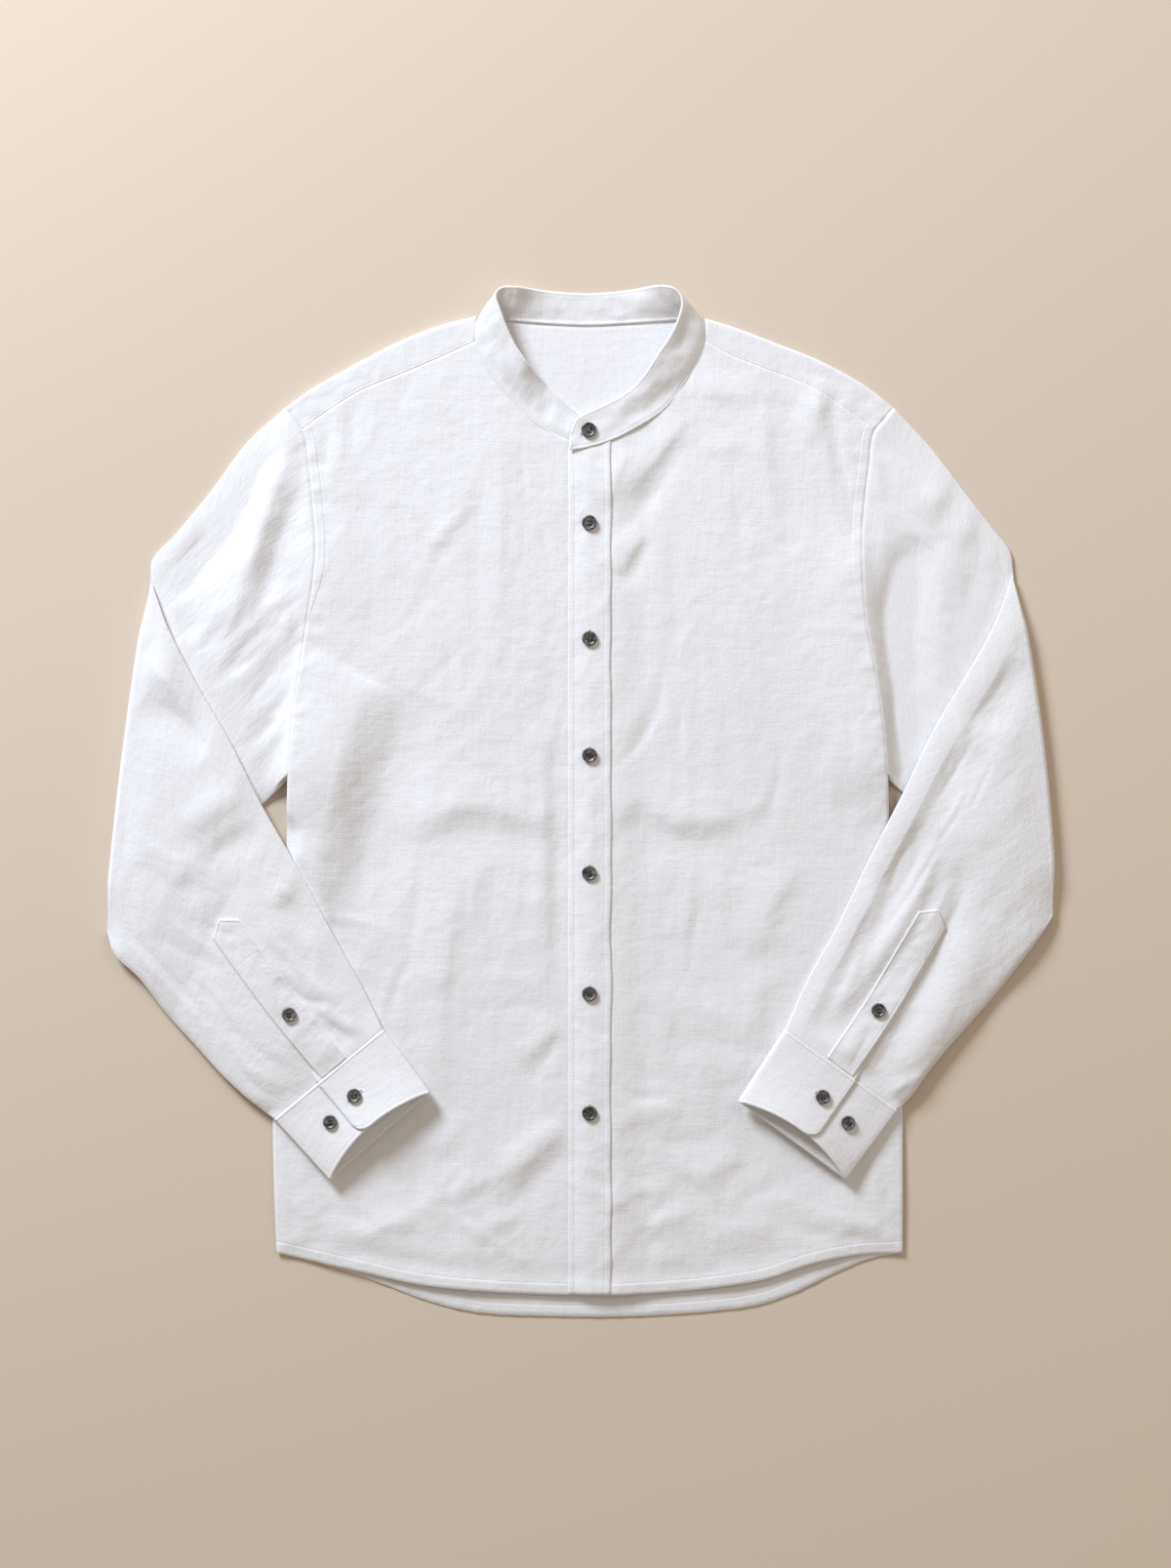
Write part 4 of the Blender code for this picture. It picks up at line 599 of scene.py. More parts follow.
def creased(name, x, y):
    """Heights of the listed creases."""
    height = np.zeros(np.shape(x))
    for number, (rise, left, right, *points) in enumerate(CREASES[name]):
        line = spline(points, np.linspace(0, 1, 6 * len(points)))
        reach = 3 * max(left, right)
        low, high = line.min(axis=0) - reach, line.max(axis=0) + reach
        near = (x > low[0]) & (x < high[0]) & (y > low[1]) & (y < high[1])
        if not near.any():
            continue
        away, side, run = nearest(line, x[near], y[near])
        width = np.where(side > 0, right, left)
        finer = min(left, right)
        uneven = 1 + CREASE_UNEVEN * noise(run / (3.2 * finer), away / (6 * finer), 200 + number)
        fade = np.sin(np.pi * np.clip(run / length(line), 0, 1)) ** CREASE_ENDS * uneven
        fall = (np.hypot(away / width, CREASE_TOP) - CREASE_TOP) / 0.75
        height[near] += rise * fade * np.exp(-fall ** CREASE_FALL)
    return height

# %% [markdown]
# ## From a grid of points to a wall of cloth
# A Solidify modifier would thicken a sheet too, but it can't round the cut edges by itself or carry a
# measure of where the stitches run. So this helper builds both faces and a rounded rim directly. Each
# point also stores its distance from the nearest row of stitches and how far along that row it is,
# which the material later turns into thread, and a map of the weave's two directions.

# %% Shell builder
scene = bpy.context.scene
CLOTH_AREA = {}  # square metres of each piece, filled in by shell()
FAR = 9.0  # a distance from the stitches at which nothing of them shows
RIM_BULGE = 0.45  # how far a cut edge rounds out, as a share of the wall


def grain_of(points, ring=False, middle=None):
    """Distances round and along a grid in metres: the directions of the weave."""
    loop = np.concatenate([points, points[:, :1]], axis=1) if ring else points
    middle = loop.shape[1] // 2 if middle is None else middle
    steps = np.linalg.norm(np.diff(loop, axis=1), axis=2)
    across = np.concatenate([np.zeros((len(loop), 1)), np.cumsum(steps, axis=1)], axis=1)
    across -= across[:, middle:middle + 1]
    down = np.linalg.norm(np.diff(loop[:, middle], axis=0), axis=1)
    along = np.concatenate([[0.0], np.cumsum(down)])
    return np.dstack([across, np.broadcast_to(along[:, None], across.shape)]) * MM


def open_edges(quads, count):
    """Which edges of the cells belong to one cell only, and the points they run between."""
    start, end = quads.ravel(), np.roll(quads, -1, axis=1).ravel()
    border = ~np.isin(start * count + end, end * count + start)
    return border, start[border], end[border]


def mesh_of(node, places, faces, uvs, values, material):
    """A Blender mesh of four-sided faces, with the weave's map and the values of its points."""
    mesh = bpy.data.meshes.new(node)
    mesh.vertices.add(len(places))
    mesh.vertices.foreach_set("co", places.ravel())
    mesh.loops.add(faces.size)
    mesh.loops.foreach_set("vertex_index", faces.ravel().astype(np.int32))
    mesh.polygons.add(len(faces))
    mesh.polygons.foreach_set("loop_start", np.arange(0, faces.size, 4, dtype=np.int32))
    mesh.update(calc_edges=True)
    mesh.validate()
    mesh.uv_layers.new(name="grain").data.foreach_set("uv", uvs.ravel())
    for name, of_points in values.items():
        mesh.attributes.new(name, "FLOAT", "POINT").data.foreach_set("value", of_points)
    mesh.materials.append(material)
    mesh.shade_smooth()
    return mesh


def shell(node, points, wall, material, grain, marks=None, kept=None, ring=False):
    """A closed wall of cloth round a grid of middle points, in the place of a solid.

    `grain` maps the grid to the weave and `marks` holds each point's distance from the stitches and how
    far along them it is. `kept` says which cells are cloth. A ring's last column joins its first.
    """
    rows, columns = points.shape[:2]
    if kept is None:
        kept = np.ones((rows - 1, columns if ring else columns - 1), bool)
    row, column = np.nonzero(kept)
    beside = (column + 1) % columns
    quads = np.stack([row * columns + column, row * columns + beside,
                      (row + 1) * columns + beside, (row + 1) * columns + column], axis=1)
    flat = points.reshape(-1, 3)
    a, b, c, d = (flat[quads[:, i]] for i in range(4))
    facing = np.cross(c - a, d - b)
    normals = np.zeros_like(flat)
    for i in range(4):
        np.add.at(normals, quads[:, i], facing)
    normals = unit(normals)

    border, start, end = open_edges(quads, rows * columns)
    outward = np.cross(flat[end] - flat[start], normals[start] + normals[end])
    push = np.zeros_like(flat)
    np.add.at(push, start, outward)
    np.add.at(push, end, outward)
    push = unit(push)

    used, rim = np.unique(quads), np.unique(start)
    index, rim_index = np.zeros((2, rows * columns), int)
    index[used] = np.arange(len(used))
    rim_index[rim] = np.arange(len(rim)) + 2 * len(used)
    places = np.vstack([flat[used] + normals[used] * wall / 2, flat[used] - normals[used] * wall / 2,
                        flat[rim] + push[rim] * wall * RIM_BULGE])
    upper, under = index[quads], index[quads][:, ::-1] + len(used)
    first, second = index[start], index[end]
    above = np.stack([second, first, rim_index[start], rim_index[end]], axis=1)
    below = np.stack([rim_index[end], rim_index[start], first + len(used), second + len(used)], axis=1)

    uv = np.stack([grain[row, column], grain[row, column + 1],
                   grain[row + 1, column + 1], grain[row + 1, column]], axis=1)
    at_start, at_end = uv.reshape(-1, 2)[border], np.roll(uv, -1, axis=1).reshape(-1, 2)[border]
    rim_uv = np.stack([at_end, at_start, at_start, at_end], axis=1)
    if marks is None:
        marks = (np.full(points.shape[:2], FAR), np.zeros(points.shape[:2]))
    of_points = [np.ravel(marks[i])[np.concatenate([used, used, rim])] for i in (0, 1)]
    mesh = mesh_of(node, (places + [*CENTRE, 0.0]) * MM, np.vstack([upper, under, above, below]),
                   np.vstack([uv, uv[:, ::-1], rim_uv, rim_uv]),
                   {"stitch": np.clip(of_points[0], -FAR, FAR), "run": of_points[1]}, material)
    CLOTH_AREA[node] = float(np.linalg.norm(facing, axis=1).sum() / 2) * MM * MM
    print(f"{node}: {2 * len(mesh.polygons):,} triangles, {CLOTH_AREA[node]:.4f} m2 of cloth")
    return put(node, mesh)


def add(name, data):
    """A new object in the scene."""
    piece = bpy.data.objects.new(name, data)
    scene.collection.objects.link(piece)
    return piece


def put(node, mesh):
    """A mesh in the place of one of the solids."""
    piece = add(node + "_made", mesh)
    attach(piece, "root")
    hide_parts(node)
    return piece


def nearest_stitches(x, y, *rows):
    """Signed distance from the nearest row of stitches, and how far along it: rows of line, offset."""
    best, along = np.full(np.shape(x), FAR), np.zeros(np.shape(x))
    for line, offset in rows:
        away, _, run = nearest(line, x, y)
        closer = np.abs(away - offset) < np.abs(best)
        best = np.where(closer, away - offset, best)
        along = np.where(closer, run, along)
    return best, along

# %% [markdown]
# ## White linen
# Linen yarn is uneven: thick places, called slubs, run for a centimetre or two along the warp and the
# weft. Two noises, each drawn out along one direction of the weave, give them, and they act mostly on
# the surface's slope, through a Bump node, because white on white is seen by its shading. The rows of
# stitches come from the distance that the shell builder stored. A picture of linen would be simpler,
# but it would have to be unwrapped and would blur close up.

# %% Shader expressions
class Wire:
    """A socket of a material. Arithmetic on it adds Math nodes."""

    def __init__(self, tree, socket=None):
        self.tree = tree
        self.socket = socket

    def node(self, kind, settings=None, values=None, out=0):
        """Any node: its type, its settings, and the values or wires of its sockets."""
        node = self.tree.nodes.new(kind)
        for name, value in (settings or {}).items():
            if name == "stops":
                for stop, (place, colour) in zip(node.color_ramp.elements, value):
                    stop.position = place
                    stop.color = colour
            else:
                setattr(node, name, value)
        for key, value in (values or {}).items():
            if isinstance(value, Wire):
                self.tree.links.new(value.socket, node.inputs[key])
            else:
                node.inputs[key].default_value = value
        return Wire(self.tree, node.outputs[out])

    def math(self, operation, *others):
        """A Math node of this wire and up to two more wires or numbers."""
        return self.node("ShaderNodeMath", {"operation": operation}, dict(enumerate((self, *others))))

    def __add__(self, other):
        return self.math("ADD", other)

    def __sub__(self, other):
        return self.math("SUBTRACT", other)

    def __rsub__(self, other):
        return self.node("ShaderNodeMath", {"operation": "SUBTRACT"}, {0: other, 1: self})

    def __mul__(self, other):
        return self.math("MULTIPLY", other)

    def __truediv__(self, other):
        return self.math("DIVIDE", other)

    __radd__, __rmul__ = __add__, __mul__

    def clamped(self):
        """The value held between 0 and 1."""
        return self.math("MAXIMUM", 0.0).math("MINIMUM", 1.0)

    def near_zero(self, width):
        """1 where the value is 0, falling to 0 at the given width."""
        return 1 - (self.math("ABSOLUTE") / width).clamped()


def material(name, **settings):
    """A new material, its first wire and its Principled shader, with constants on the shader's sockets."""
    made = bpy.data.materials.new(name)
    made.use_nodes = True
    shader = made.node_tree.nodes["Principled BSDF"]
    for socket, value in settings.items():
        shader.inputs[socket.replace("_", " ")].default_value = value
    return made, Wire(made.node_tree), shader

# %% White linen
def drawn_out(wire, place, across, along, seed, detail):
    """Noise drawn out along the weave: so many cells to a millimetre across and along it."""
    stretched = wire.node("ShaderNodeVectorMath", {"operation": "MULTIPLY"},
                          {0: place, 1: (across / MM, along / MM, 0.0)})
    return wire.node("ShaderNodeTexNoise", {"noise_dimensions": "4D"},
                     {"Vector": stretched, "W": seed, "Scale": 1.0, "Detail": detail, "Roughness": 0.6})


# cells to a millimetre across and along the weave, seed, detail, height in millimetres
YARNS = {
    "warp": (0.85, 0.07, 1.0, 1.0, 0.06),
    "weft": (0.10, 0.85, 7.0, 1.0, 0.05),
    "fine warp": (2.0, 0.16, 3.0, 0.0, 0.055),
    "fine weft": (0.16, 2.0, 5.0, 0.0, 0.055),
    "crinkle": (0.12, 0.12, 11.0, 3.0, 0.5),
    "long warp": (0.20, 0.035, 13.0, 2.0, 0.28),
    "long weft": (0.035, 0.24, 17.0, 2.0, 0.2),
}
STITCH = 2.5  # length of a stitch in millimetres
THREAD = (0.5, 0.15)  # how far the thread reaches to each side, and its height
GROOVE = (1.1, 0.18)  # the same for the groove it lies in: its reach and its depth
TURNED = (0.5, 0.2)  # where the folded edge begins to rise, and its height
SLUB_SHADE = 0.06  # how much the thick yarns change the tone


def stitched_height(wire):
    """Relief of a seam: thread in a shallow groove, and the turned edge beside it."""
    away = wire.node("ShaderNodeAttribute", {"attribute_name": "stitch"}, out=2)
    run = wire.node("ShaderNodeAttribute", {"attribute_name": "run"}, out=2)
    beat = (run * (2 * math.pi / STITCH)).math("SINE")
    thread = away.near_zero(THREAD[0]) * (0.5 + 0.5 * beat)
    turned = 1 - (away + TURNED[0]).clamped()
    return turned * TURNED[1] - away.near_zero(GROOVE[0]) * GROOVE[1] + thread * THREAD[1]


def make_linen(name, colour, through=0.0):
    """White linen; `through` is the share of light that passes into the cloth."""
    made, wire, shader = material(name, Roughness=0.9, Specular_IOR_Level=0.2, Subsurface_Weight=through,
                                  Subsurface_Radius=(1.0, 0.9, 0.8), Subsurface_Scale=1.6 * MM)
    place = wire.node("ShaderNodeUVMap", {"uv_map": "grain"})
    height = stitched_height(wire)
    yarns = {}
    for yarn, (across, along, seed, detail, rise) in YARNS.items():
        yarns[yarn] = drawn_out(wire, place, across, along, seed, detail)
        height = height + yarns[yarn] * rise
    bump = wire.node("ShaderNodeBump", {}, {"Strength": 1.0, "Distance": MM, "Height": height})
    shade = (yarns["warp"] + yarns["weft"]) * SLUB_SHADE + (1 - SLUB_SHADE)
    grey = wire.node("ShaderNodeCombineColor", {}, {0: shade, 1: shade, 2: shade})
    tint = wire.node("ShaderNodeMix", {"data_type": "RGBA", "blend_type": "MULTIPLY"},
                     {0: 1.0, 6: (*colour, 1.0), 7: grey}, out=2)
    wire.tree.links.new(tint.socket, shader.inputs["Base Color"])
    wire.tree.links.new(bump.socket, shader.inputs["Normal"])
    return made


WHITE = (0.862, 0.850, 0.848)
linen = make_linen("white linen", WHITE)
lit_linen = make_linen("white linen, lit from behind", WHITE, 0.45)
print("linen nodes", len(linen.node_tree.nodes))

# %% [markdown]
# ## Heights of the layers
# The back lies on the floor, the fronts on the back, the forearms on the fronts. Each layer's height
# is a function of the place on the floor, so that pieces which are sewn together ask the same function
# and meet exactly. Under the forearms the fronts are pressed down, so nothing pokes through.

# %% Where the forearms lie
ARM_OUTLINE, ARM_AXIS, FOLD_OUTWARD = {}, {}, {}
for side in SIGN:
    fore = np.array(FOREARMS[side], float)
    mouth_in, mouth_out = CUFFS[side][2:]
    edges = spline(fore, np.linspace(0, 1, 33), even=True)
    ARM_OUTLINE[side] = np.vstack([edges[:, :2], [mouth_in, mouth_out], edges[::-1, 2:]])
    ARM_AXIS[side] = (fore[0].reshape(2, 2).mean(axis=0), fore[-1].reshape(2, 2).mean(axis=0))
    fold = fore[0, 2:] - fore[0, :2]
    FOLD_OUTWARD[side] = SIGN[side] * np.array([-fold[1], fold[0]]) / np.linalg.norm(fold)


def elbow_press(side, x, y):
    """How flat the sleeve is pressed, 1 on its fold, then the thickness and the gap of the fold there."""
    ends = np.array(FOREARMS[side][0], float).reshape(2, 2)
    middle = ends.mean(axis=0) + ELBOW_BOW[side] * FOLD_OUTWARD[side]
    fold = spline([ends[0], middle, ends[1]], np.linspace(0, 1, 12))
    away, _, run = nearest(fold, x, y)
    inner = smooth(np.minimum(run, length(fold) - run) / ELBOW_CORNER)
    thick, gap = (low + (high - low) * inner for low, high in (ELBOW_THICK, ELBOW_GAP))
    return np.exp(-away / ELBOW_PRESSED), thick, gap


def arm_lift(side, x, y):
    """Middle height of the forearm's lower layer: up from the fold, then down to the cuff."""
    elbow, wrist = ARM_AXIS[side]
    axis = wrist - elbow
    s = np.clip(((x - elbow[0]) * axis[0] + (y - elbow[1]) * axis[1]) / (axis @ axis), 0, 1)
    press, thick, gap = elbow_press(side, x, y)
    free = ARM_LIFT + (CUFF_FOOT - ARM_LIFT) * smooth(s)
    return free + (LOW + thick + gap - free) * press


CLEARANCE = 1.0  # from the forearm's lower layer to the one below it
FRONTS_RISE = (0.1, 0.4)  # how steeply that one may rise beside the cuffs, and how much more above them


def under_arm(x, y):
    """The highest that a layer may lie below the forearms and cuffs."""
    limit = np.full(np.shape(x), 99.0)
    slope = FRONTS_RISE[0] + FRONTS_RISE[1] * smooth((y + 240) / 60)
    for side in SIGN:
        outline = closed(ARM_OUTLINE[side])
        out = np.where(inside(ARM_OUTLINE[side], x, y), 0.0, nearest(outline, x, y)[0])
        limit = np.minimum(limit, arm_lift(side, x, y) - CLEARANCE + slope * out)
    return limit

# %% Heights of the fronts
SEAM_REACH = (42.0, 14.0)  # how far the armhole seam lifts the cloth, on the body and beyond it
# puckers: height, length and width, seed, distance from the edge, reach
ARM_PUCKERS = (0.5, (9.5, 14), 40, 6, 8)
FRONT_HEM_PUCKERS = (0.3, (13, 20), 50, 8, 9)
HEM_LIFT, HEM_UNEVEN = 3.2, 1.1  # how far the front hem stands up, and how that varies
SIDE_LIFT, SIDE_UNEVEN = 1.5, 0.9  # the same for the side seams
EDGE_DROP = 0.65  # how much lower the fronts lie on the free edges
FREE_Y, FREE_STEP = -28.0, 45.0  # above this the sides are sewn in, so they don't thin out
SEWN_IN = 32.0  # and count as this far from a free edge
LEAST_RISE = (0.85, 0.5)  # how far they stay above the floor layer at an edge, and more inside
UNDER_MOUTH, MOUTH_REACH = 0.85, 62.0  # how much of the fronts' air is gone below a cuff's mouth


def edge_lift(x, y):
    """How far the side seams spring up from the floor, here more and there less."""
    lift = np.zeros(np.shape(x))
    for side in SIGN:
        away, _, run = nearest(SIDE_LINE[side], x, y)
        uneven = SIDE_LIFT + SIDE_UNEVEN * noise(run / 75, 0 * run, 45)
        lift += uneven * np.exp(-(away / 13) ** 2) * smooth(run / 40)
    return lift


def seam_relief(side, x, y):
    """The ridge along an armhole seam and the puckers beside it."""
    away, hand, run = nearest(ARMHOLE_LINE[side], x, y)
    reach = np.where(hand * SIGN[side] > 0, *SEAM_REACH)
    ends = smooth((y + 14) / 50) * smooth((235 - y) / 60)
    return puckers(run, away, *ARM_PUCKERS) + SEAM_RISE[side] * np.exp(-(away / reach) ** 2) * ends


def body_height(x, y):
    """Middle height of the fronts: soft air and creases, down to the back at the free edges."""
    across = (np.abs(x) - CHEST[0]) / CHEST_REACH[0]
    up = (y - CHEST[1]) / CHEST_REACH[1]
    loft = LOFT + CHEST_LOFT * np.exp(-across ** 2 - up ** 2)
    edge = nearest(free_edge(HEM_LINE), x, y)[0] + SEWN_IN * smooth((y - FREE_Y) / FREE_STEP)
    relief = creased("body", x, y) + crumple(x, y, 3)
    for side in SIGN:
        relief += seam_relief(side, x, y)
        mouth_x, mouth_y = np.mean(CUFFS[side][2:], axis=0)
        mouth = np.hypot(x - mouth_x, y - mouth_y)
        loft = loft * (1 - UNDER_MOUTH * np.exp(-(mouth / MOUTH_REACH) ** 4))
    away, _, run = nearest(HEM_LINE, x, y)
    relief += puckers(run, away, *FRONT_HEM_PUCKERS)
    hem = np.exp(-(away / 12) ** 2) * smooth(np.minimum(run, length(HEM_LINE) - run) / 90)
    hem *= HEM_LIFT + HEM_UNEVEN * noise(run / 60, 0 * run, 51)
    base = TOP - EDGE_DROP * (1 - smooth(edge / 9)) + edge_lift(x, y)
    height = base + smooth(edge / 30) * loft + smooth(edge / 14) * relief + hem
    lowest = LOW + LEAST_RISE[0] + LEAST_RISE[1] * smooth(edge / 10)
    return np.maximum(soft_min(height, under_arm(x, y)), lowest)


def lap_height(x):
    """How far the left front is lifted where it runs over the right one."""
    return LAP * (1 - smooth((x - LAP_REACH[0]) / (LAP_REACH[1] - LAP_REACH[0])))


def floor_layer(x, y, seed, edge):
    """Middle height of a layer on the floor, slightly crumpled away from its edges."""
    return LOW + smooth(edge / 25) * np.clip(0.25 + 0.5 * crumple(x, y, seed), 0, 0.5)

# %% [markdown]
# ## Back, fronts and yoke
# The two fronts and the back are flat cut pieces, so a grid stretched between four border lines
# follows them: hem, side seam with armhole, shoulder with neck, and centre edge. The yoke is one piece
# that goes over both shoulders, so its rows run up the back, round the fold and down to the front.

# %% Back
HEM_STITCH = 8.5  # from the hem's edge to its row of stitches
ARM_STITCH = 7.8  # from the armhole seam to its row of stitches
BACK_HEM_RISE = 0.5  # how far the back hem lifts off the floor in places


def body_side(side, rows, arm_end):
    """The outer border of a body panel from the hem up: side seam, then armhole as far as arm_end."""
    seam = spline(SIDE_SEAM[side], np.linspace(1, 0, rows[0]))
    return np.vstack([seam, spline(ARMHOLE[side], np.linspace(1, arm_end, rows[1])[1:])])


def make_back(rows=(96, 66), columns=125):
    right, left = (body_side(side, rows, BACK_FRACTION[side]) for side in ("right", "left"))
    hem_x = np.linspace(right[0][0], left[0][0], columns + 1)
    hem = np.stack([hem_x, at_x(BACK_HEM, hem_x)], axis=1)
    hem[0], hem[-1] = right[0], left[0]
    plan = patch(hem, np.linspace(right[-1], left[-1], columns + 1), right, left)
    x, y = plan[..., 0], plan[..., 1]
    hem_line = spline(BACK_HEM, SAMPLES)
    height = floor_layer(x, y, 60, nearest(free_edge(hem_line), x, y)[0]) + edge_lift(x, y)
    away, _, run = nearest(hem_line, x, y)
    lifted = np.abs(noise(run / 16, away / 30, 61)) * np.exp(-(away / 16) ** 2)
    height = height + BACK_HEM_RISE * lifted
    marks = nearest_stitches(x, y, (hem_line, HEM_STITCH))
    return shell("back", np.dstack([plan, height]), WALL, linen, plan * MM, marks)


back = make_back()

# %% Fronts
TUCKED = 0.5  # how much lower the right front lies under the placket
PIT_Y = 17.0  # the underarm point


def front_height(side, x, y):
    """Middle height of a front, which is over at the centre on the left and under on the right."""
    height = body_height(x, y)
    if side == "left":
        return height + lap_height(x)
    return height - TUCKED * smooth((x - PLACKET_LEFT_X + 1.5) / 4)


def make_front(side, columns=(50, 52), rows=(158, 122)):
    """One front: columns along shoulder and neck, rows along side seam and armhole."""
    inner_x = UNDER_FRONT_X if side == "right" else OVER_FRONT_X
    outer = body_side(side, rows, YOKE_FRACTION[side])
    shoulder = spline([row[2:] for row in SHOULDERS[side]][::-1], np.linspace(0, 1, columns[0]))
    shoulder[0] = outer[-1]
    top = np.vstack([shoulder, neck_line(side, columns[1])])
    top[-1][0] = inner_x
    hem_x = np.interp(np.abs(top[:, 0] - inner_x), [0, abs(top[0][0] - inner_x)], [inner_x, outer[0][0]])
    hem = np.stack([hem_x, at_x(FRONT_HEM, hem_x)], axis=1)
    hem[0] = outer[0]
    inner_y = np.interp(outer[:, 1], [outer[0][1], PIT_Y, outer[-1][1]], [hem[-1][1], PIT_Y, top[-1][1]])
    inner = np.stack([np.full(len(outer), inner_x), inner_y], axis=1)
    plan = patch(hem, top, outer, inner)
    x, y = plan[..., 0], plan[..., 1]
    stitch, run = nearest_stitches(x, y, (ARMHOLE_LINE[side], ARM_STITCH), (HEM_LINE, HEM_STITCH))
    bare = smooth((190 - y) / 70) * smooth((y + 20) / 20)  # no row of stitches low in the armhole
    points = np.dstack([plan, front_height(side, x, y)])
    return shell(f"front_{side}", points, WALL, linen, plan * MM, (stitch + FAR * bare, run))


front_right = make_front("right")
front_left = make_front("left")

# %% Yoke
SHOULDER_STEPS, NECK_STEPS = 66, 70  # columns of one shoulder, and of the neck between the two
BACK_ROWS, TURN_ROWS, FRONT_ROWS = 18, 10, 10
SEAM_STITCH = 1.7  # from a folded edge to the row of stitches that holds it


def across_shoulders(right, neck, left):
    """One row of the yoke: the right shoulder from its outer end, the neck, then the left shoulder."""
    return np.vstack([right[::-1], neck, left])


def make_yoke():
    """One piece over both shoulders: up the back, round the shoulder's fold and down the front."""
    at = np.linspace(0, 1, SHOULDER_STEPS + 1)
    fold = {side: spline([row[:2] for row in SHOULDERS[side]], at) for side in SIGN}
    seam = {side: spline([row[2:] for row in SHOULDERS[side]], at) for side in SIGN}
    neck = neck_line("yoke", NECK_STEPS - 1, -NECK_OVERLAP)
    silhouette = across_shoulders(fold["right"], neck, fold["left"])
    inward = unit(across_shoulders(seam["right"] - fold["right"], np.tile([0.0, -1.0], (len(neck), 1)),
                                   seam["left"] - fold["left"]))
    front_seam = across_shoulders(seam["right"], 0 * neck, seam["left"])
    radius = (body_height(silhouette[:, 0], silhouette[:, 1]) - LOW) / 2
    axis = silhouette + inward * radius[:, None]
    is_neck = np.zeros(len(silhouette), bool)
    is_neck[SHOULDER_STEPS + 1:SHOULDER_STEPS + NECK_STEPS] = True
    edge = np.where(is_neck[:, None], silhouette, axis)
    seam_ends = [spline(ARMHOLE[side], BACK_FRACTION[side]) for side in ("right", "left")]
    back_seam = np.linspace(*seam_ends, len(edge))
    rows = []
    for share in np.linspace(0, 1, BACK_ROWS + 1)[:-1]:
        row = back_seam + share * (edge - back_seam)
        for end, side in ((0, "right"), (-1, "left")):
            row[end] = spline(ARMHOLE[side], BACK_FRACTION[side] * (1 - share))
        to_seams = np.full(len(row), 99.0) * share * (1 - share)
        rows.append(np.column_stack([row, floor_layer(row[:, 0], row[:, 1], 60, to_seams)]))
    for angle in np.radians(np.linspace(-90, 90, TURN_ROWS)):
        place = axis - inward * (radius * math.cos(angle))[:, None]
        place = np.where(is_neck[:, None], silhouette, place)
        rows.append(np.column_stack([place, LOW + radius * (1 + math.sin(angle))]))
    rows[BACK_ROWS][is_neck, 2] = LOW
    for share in np.linspace(0, 1, FRONT_ROWS + 1)[1:]:
        place = axis + share * (front_seam - axis)
        rows.append(np.column_stack([place, body_height(place[:, 0], place[:, 1])]))
    points = np.array(rows)
    kept = np.ones((len(points) - 1, len(edge) - 1), bool)
    kept[BACK_ROWS:, SHOULDER_STEPS:SHOULDER_STEPS + NECK_STEPS] = False
    x, y = points[..., 0], points[..., 1]
    stitch, run = nearest_stitches(x, y, (seam["right"], SEAM_STITCH), (seam["left"], SEAM_STITCH))
    stitch[:BACK_ROWS + TURN_ROWS // 2] = FAR
    return shell("yoke", points, WALL, linen, points[..., :2] * MM, (stitch, run), kept=kept)


yoke = make_yoke()

# %% [markdown]
# ## Front placket
# A shirt's button side ends in a strip folded from two layers and stitched down along both edges. It
# is separate cloth on the real shirt and a separate piece here. Between the buttons it dips a little,
# because the cloth hangs from them, and the stitches draw its edges in.

# %% Front placket
PLACKET_WALL = 1.1  # the strip's own thickness
PLACKET_STITCH = 4.3  # from its edges to its rows of stitches
PLACKET_OVER = (0.25, 0.75)  # how far it lies above the front: at its left edge, and more beyond
PLACKET_DIP = 0.45  # depth of the dips between the buttons
PLACKET_CREASE = 0.35  # height of its creases
PLACKET_PUCKER = 0.22  # height of the puckers at its stitches
PLACKET_SWAY = (0.3, 0.9)  # how far its left edge wanders, and how much more the right one


def placket_dents(x, y):
    """Soft dips between the buttons, and puckers along both rows of stitches."""
    mid = (PLACKET_LEFT_X + PLACKET_RIGHT_X) / 2
    edge = PLACKET_RIGHT_X - mid - np.abs(x - mid)
    dips = PLACKET_DIP * noise(y / 34, x / 40, 70) + PLACKET_CREASE * (ridges(x, y, 71, 24, 8, 1.4) - 0.45)
    pucker = PLACKET_PUCKER * noise(y / 8, x / 20, 72) * np.exp(-((edge - PLACKET_STITCH) / 3) ** 2)
    return dips * smooth((edge + 2) / 8) + pucker


def placket_height(x, y):
    """Middle height of the placket, which lies on the left front."""
    from_left = x - PLACKET_LEFT_X
    over = PLACKET_OVER[0] + PLACKET_OVER[1] * smooth(from_left / 9)
    return body_height(x, y) + LAP * smooth((from_left - 1) / 18) + over + placket_dents(x, y)


def make_placket(columns=23, rows=270):
    x = np.linspace(PLACKET_LEFT_X, PLACKET_RIGHT_X, columns)
    neck = neck_line("placket", 60)[::-1]
    head = np.interp(x, neck[:, 0], neck[:, 1])
    y = PLACKET_FOOT_Y + np.linspace(0, 1, rows)[:, None] * (head - PLACKET_FOOT_Y)
    sway = (PLACKET_SWAY[0] + PLACKET_SWAY[1] * smooth(x / 17)) * noise(y / 42, x[None] / 200, 75)
    plan = np.dstack([x + sway, y])
    edge = np.minimum(x - x[0], x[-1] - x)
    marks = (np.broadcast_to(edge - PLACKET_STITCH, y.shape), y)
    points = np.dstack([plan, placket_height(plan[..., 0], y)])
    return shell("front_placket", points, PLACKET_WALL, linen, plan * MM, marks)


placket = make_placket()

# %% [markdown]
# ## Sleeves
# A sleeve is a tube that lies flat, so it is made of rings: along the upper layer, round the underarm
# edge, back along the lower layer and round the other edge. At the elbow the rings turn over, which
# folds the tube back on itself the way the real sleeve is folded.

